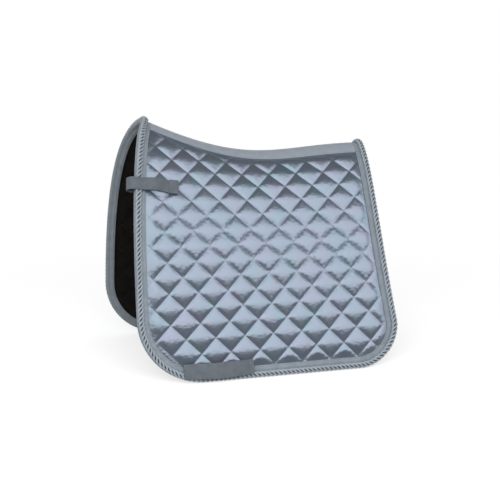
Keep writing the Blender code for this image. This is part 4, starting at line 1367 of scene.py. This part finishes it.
tab_section = flat_section(TAB_LENGTH, -BEND_LEAD, TAB_HEIGHT)
tab, place = billet_piece("billet_tab_left", tab_section, BILLET_WIDTH, LEFT)
riding(tab, "left_strap", "webbing", "billet_strap_tab_left")
tab_start = TAB_LENGTH - HOOK_START - HOOK_LENGTH + ROW_INSET
tab_end = tab_start + HOOK_LENGTH - 2 * ROW_INSET
tab_far = BILLET_WIDTH - TAB_ROW_INSET
box = [(tab_start, TAB_ROW_INSET), (tab_end, TAB_ROW_INSET), (tab_end, tab_far), (tab_start, tab_far)]
rows = [strap_row(place, box[k - 1], box[k], -WEBBING_THICKNESS / 2 - THREAD_LIFT) for k in range(4)]
sewn_on_strap("billet_tab_thread_left", rows, "left_strap")

fastener = ribbed_cloth("dark_fastener", HOOK_COLOUR, HOOK_PALE, 0.6, 0.0012, 0.0005, 0.0002)
pile = pile_tree()
for name, node, middle, facing, body, radius, sweep in (
        ("hook", "hook_patch_left", HOOK_MIDDLE, 1, "left_strap", HOOK_RADIUS, HOOK_SWEEP),
        ("loop", "loop_patch_left", LOOP_MIDDLE, -1, "left_flap", LOOP_RADIUS, LOOP_SWEEP)):
    section = flat_section(HOOK_START, HOOK_START + HOOK_LENGTH, middle)
    strip, place = billet_piece(f"{name}_strip_left", section, HOOK_WIDTH, LEFT, STRIP_THICKNESS)
    strip.data.materials.clear()
    strip.data.materials.append(fastener)
    riding(strip, body, "hook_and_loop", node)
    count = round(HOOK_WIDTH / PILE_PITCH)
    lift = facing * STRIP_THICKNESS / 2
    rows = [strap_row(place, (PILE_PITCH, across), (HOOK_LENGTH - PILE_PITCH, across), lift)
            for across in np.linspace(PILE_PITCH, HOOK_WIDTH - PILE_PITCH, count)]
    stand = grown(f"{name}_pile_left", rows, pile, fastener, Pitch=PILE_PITCH, Radius=radius, Sweep=sweep,
                  Thickness=PILE_THICKNESS)
    riding(stand, body, "hook_and_loop")

# Studio
# Camera where the photograph was taken from, a wide soft lamp in front, a white room and a pale floor.
# Two dark flags, seen by reflections alone, keep the satin's sheen to the band between them.
CAMERA_PLACE = (-0.6569, -2.1937, 0.6383)
CAMERA_TARGET = Vector((0.01585, 0, 0.2337))
CAMERA_LENS = 72.86
LAMP_PLACE = (-0.75, -2.4, 1.45)
LAMP_TARGET = Vector((0, 0, 0.25))
LAMP_SIZE = (2.4, 1.0)
LAMP_WATTS = 45
FLOOR_HEIGHT = -0.001
FLOOR_HALF = 12.0
FLOOR_COLOUR = 0.80
FLOOR_GLOW = 0.62
FLOOR_FADE = (0.5, 1.6)
ROOM_LIGHT = 0.35
FLAG_COLOUR = 0.02
FLAG_HEIGHT = 2.0
FLAG_HALF = 3.0
FLAG_ABOVE_NEAR = (-0.5, -1.1)
FLAG_BELOW_NEAR = (-2.9, -2.9)
camera = bpy.data.objects.new("camera", bpy.data.cameras.new("camera"))
camera.location = CAMERA_PLACE
camera.rotation_euler = (CAMERA_TARGET - camera.location).to_track_quat("-Z", "Y").to_euler()
camera.data.lens = CAMERA_LENS
bpy.context.collection.objects.link(camera)
bpy.context.scene.camera = camera

light = bpy.data.objects.new("key", bpy.data.lights.new("key", "AREA"))
light.data.shape = "RECTANGLE"
light.data.size, light.data.size_y = LAMP_SIZE
light.data.energy = LAMP_WATTS
light.location = LAMP_PLACE
light.rotation_euler = (LAMP_TARGET - light.location).to_track_quat("-Z", "Y").to_euler()
light.visible_glossy = False
bpy.context.collection.objects.link(light)


def seen_directly(tree):
    """Socket that is 1 for rays from the camera, from gloss or through glass, and 0 for light on cloth."""
    rays = add_node(tree, "ShaderNodeLightPath").outputs
    seen = rays["Is Camera Ray"]
    for kind in ("Is Glossy Ray", "Is Transmission Ray"):
        seen = calculated(tree, "MAXIMUM", seen, rays[kind])
    return seen


def level_card(name, height, half_width, near_ends, far_y):
    """A level card of the studio, no part of the pad; near_ends is the y of its near edge, left and right."""
    corners = [(-half_width, near_ends[0], height), (half_width, near_ends[1], height),
               (half_width, far_y, height), (-half_width, far_y, height)]
    card = mesh_piece(name, corners, [[0, 1, 2, 3]])
    return card


world = bpy.data.worlds.new("studio")
world.use_nodes = True
bpy.context.scene.world = world
room = world.node_tree
white = add_node(room, "ShaderNodeMapRange", {"Value": seen_directly(room), "To Min": ROOM_LIGHT,
                                              "To Max": 1.0})
room.links.new(white.outputs["Result"], room.nodes["Background"].inputs["Strength"])
room.nodes["Background"].inputs["Color"].default_value = (1, 1, 1, 1)

floor = level_card("floor", FLOOR_HEIGHT, FLOOR_HALF, (-FLOOR_HALF, -FLOOR_HALF), FLOOR_HALF)
pale, tree, shader = new_material("pale_floor", 3 * (FLOOR_COLOUR,), 0.9)
place = add_node(tree, "ShaderNodeTexCoord").outputs["Object"]
reach = add_node(tree, "ShaderNodeVectorMath", {0: place}, operation="LENGTH").outputs["Value"]
far = add_node(tree, "ShaderNodeMapRange", {
    "Value": reach, "From Min": FLOOR_FADE[0], "From Max": FLOOR_FADE[1]},
    interpolation_type="SMOOTHSTEP").outputs["Result"]
shade = add_node(tree, "ShaderNodeMapRange", {"Value": far, "To Min": FLOOR_COLOUR, "To Max": 0.0})
glow = add_node(tree, "ShaderNodeMapRange", {"Value": far, "To Min": FLOOR_GLOW, "To Max": 1.0})
glow = calculated(tree, "MULTIPLY", glow.outputs["Result"], seen_directly(tree))
tree.links.new(shade.outputs["Result"], shader.inputs["Base Color"])
tree.links.new(glow, shader.inputs["Emission Strength"])
shader.inputs["Emission Color"].default_value = (1, 1, 1, 1)
shader.inputs["Specular IOR Level"].default_value = 0
floor.data.materials.append(pale)

dark, tree, shader = new_material("dark_flag", 3 * (FLAG_COLOUR,), 1.0, Specular_IOR_Level=0.0)
for name, height, near_ends in (("flag_above", FLAG_HEIGHT, FLAG_ABOVE_NEAR),
                                ("flag_below", 0.0, FLAG_BELOW_NEAR)):
    flag = level_card(name, height, FLAG_HALF, near_ends, FLAG_HALF)
    flag.data.materials.append(dark)
    flag.visible_camera = flag.visible_diffuse = flag.visible_shadow = flag.visible_transmission = False
bpy.context.scene.view_settings.view_transform = "Standard"
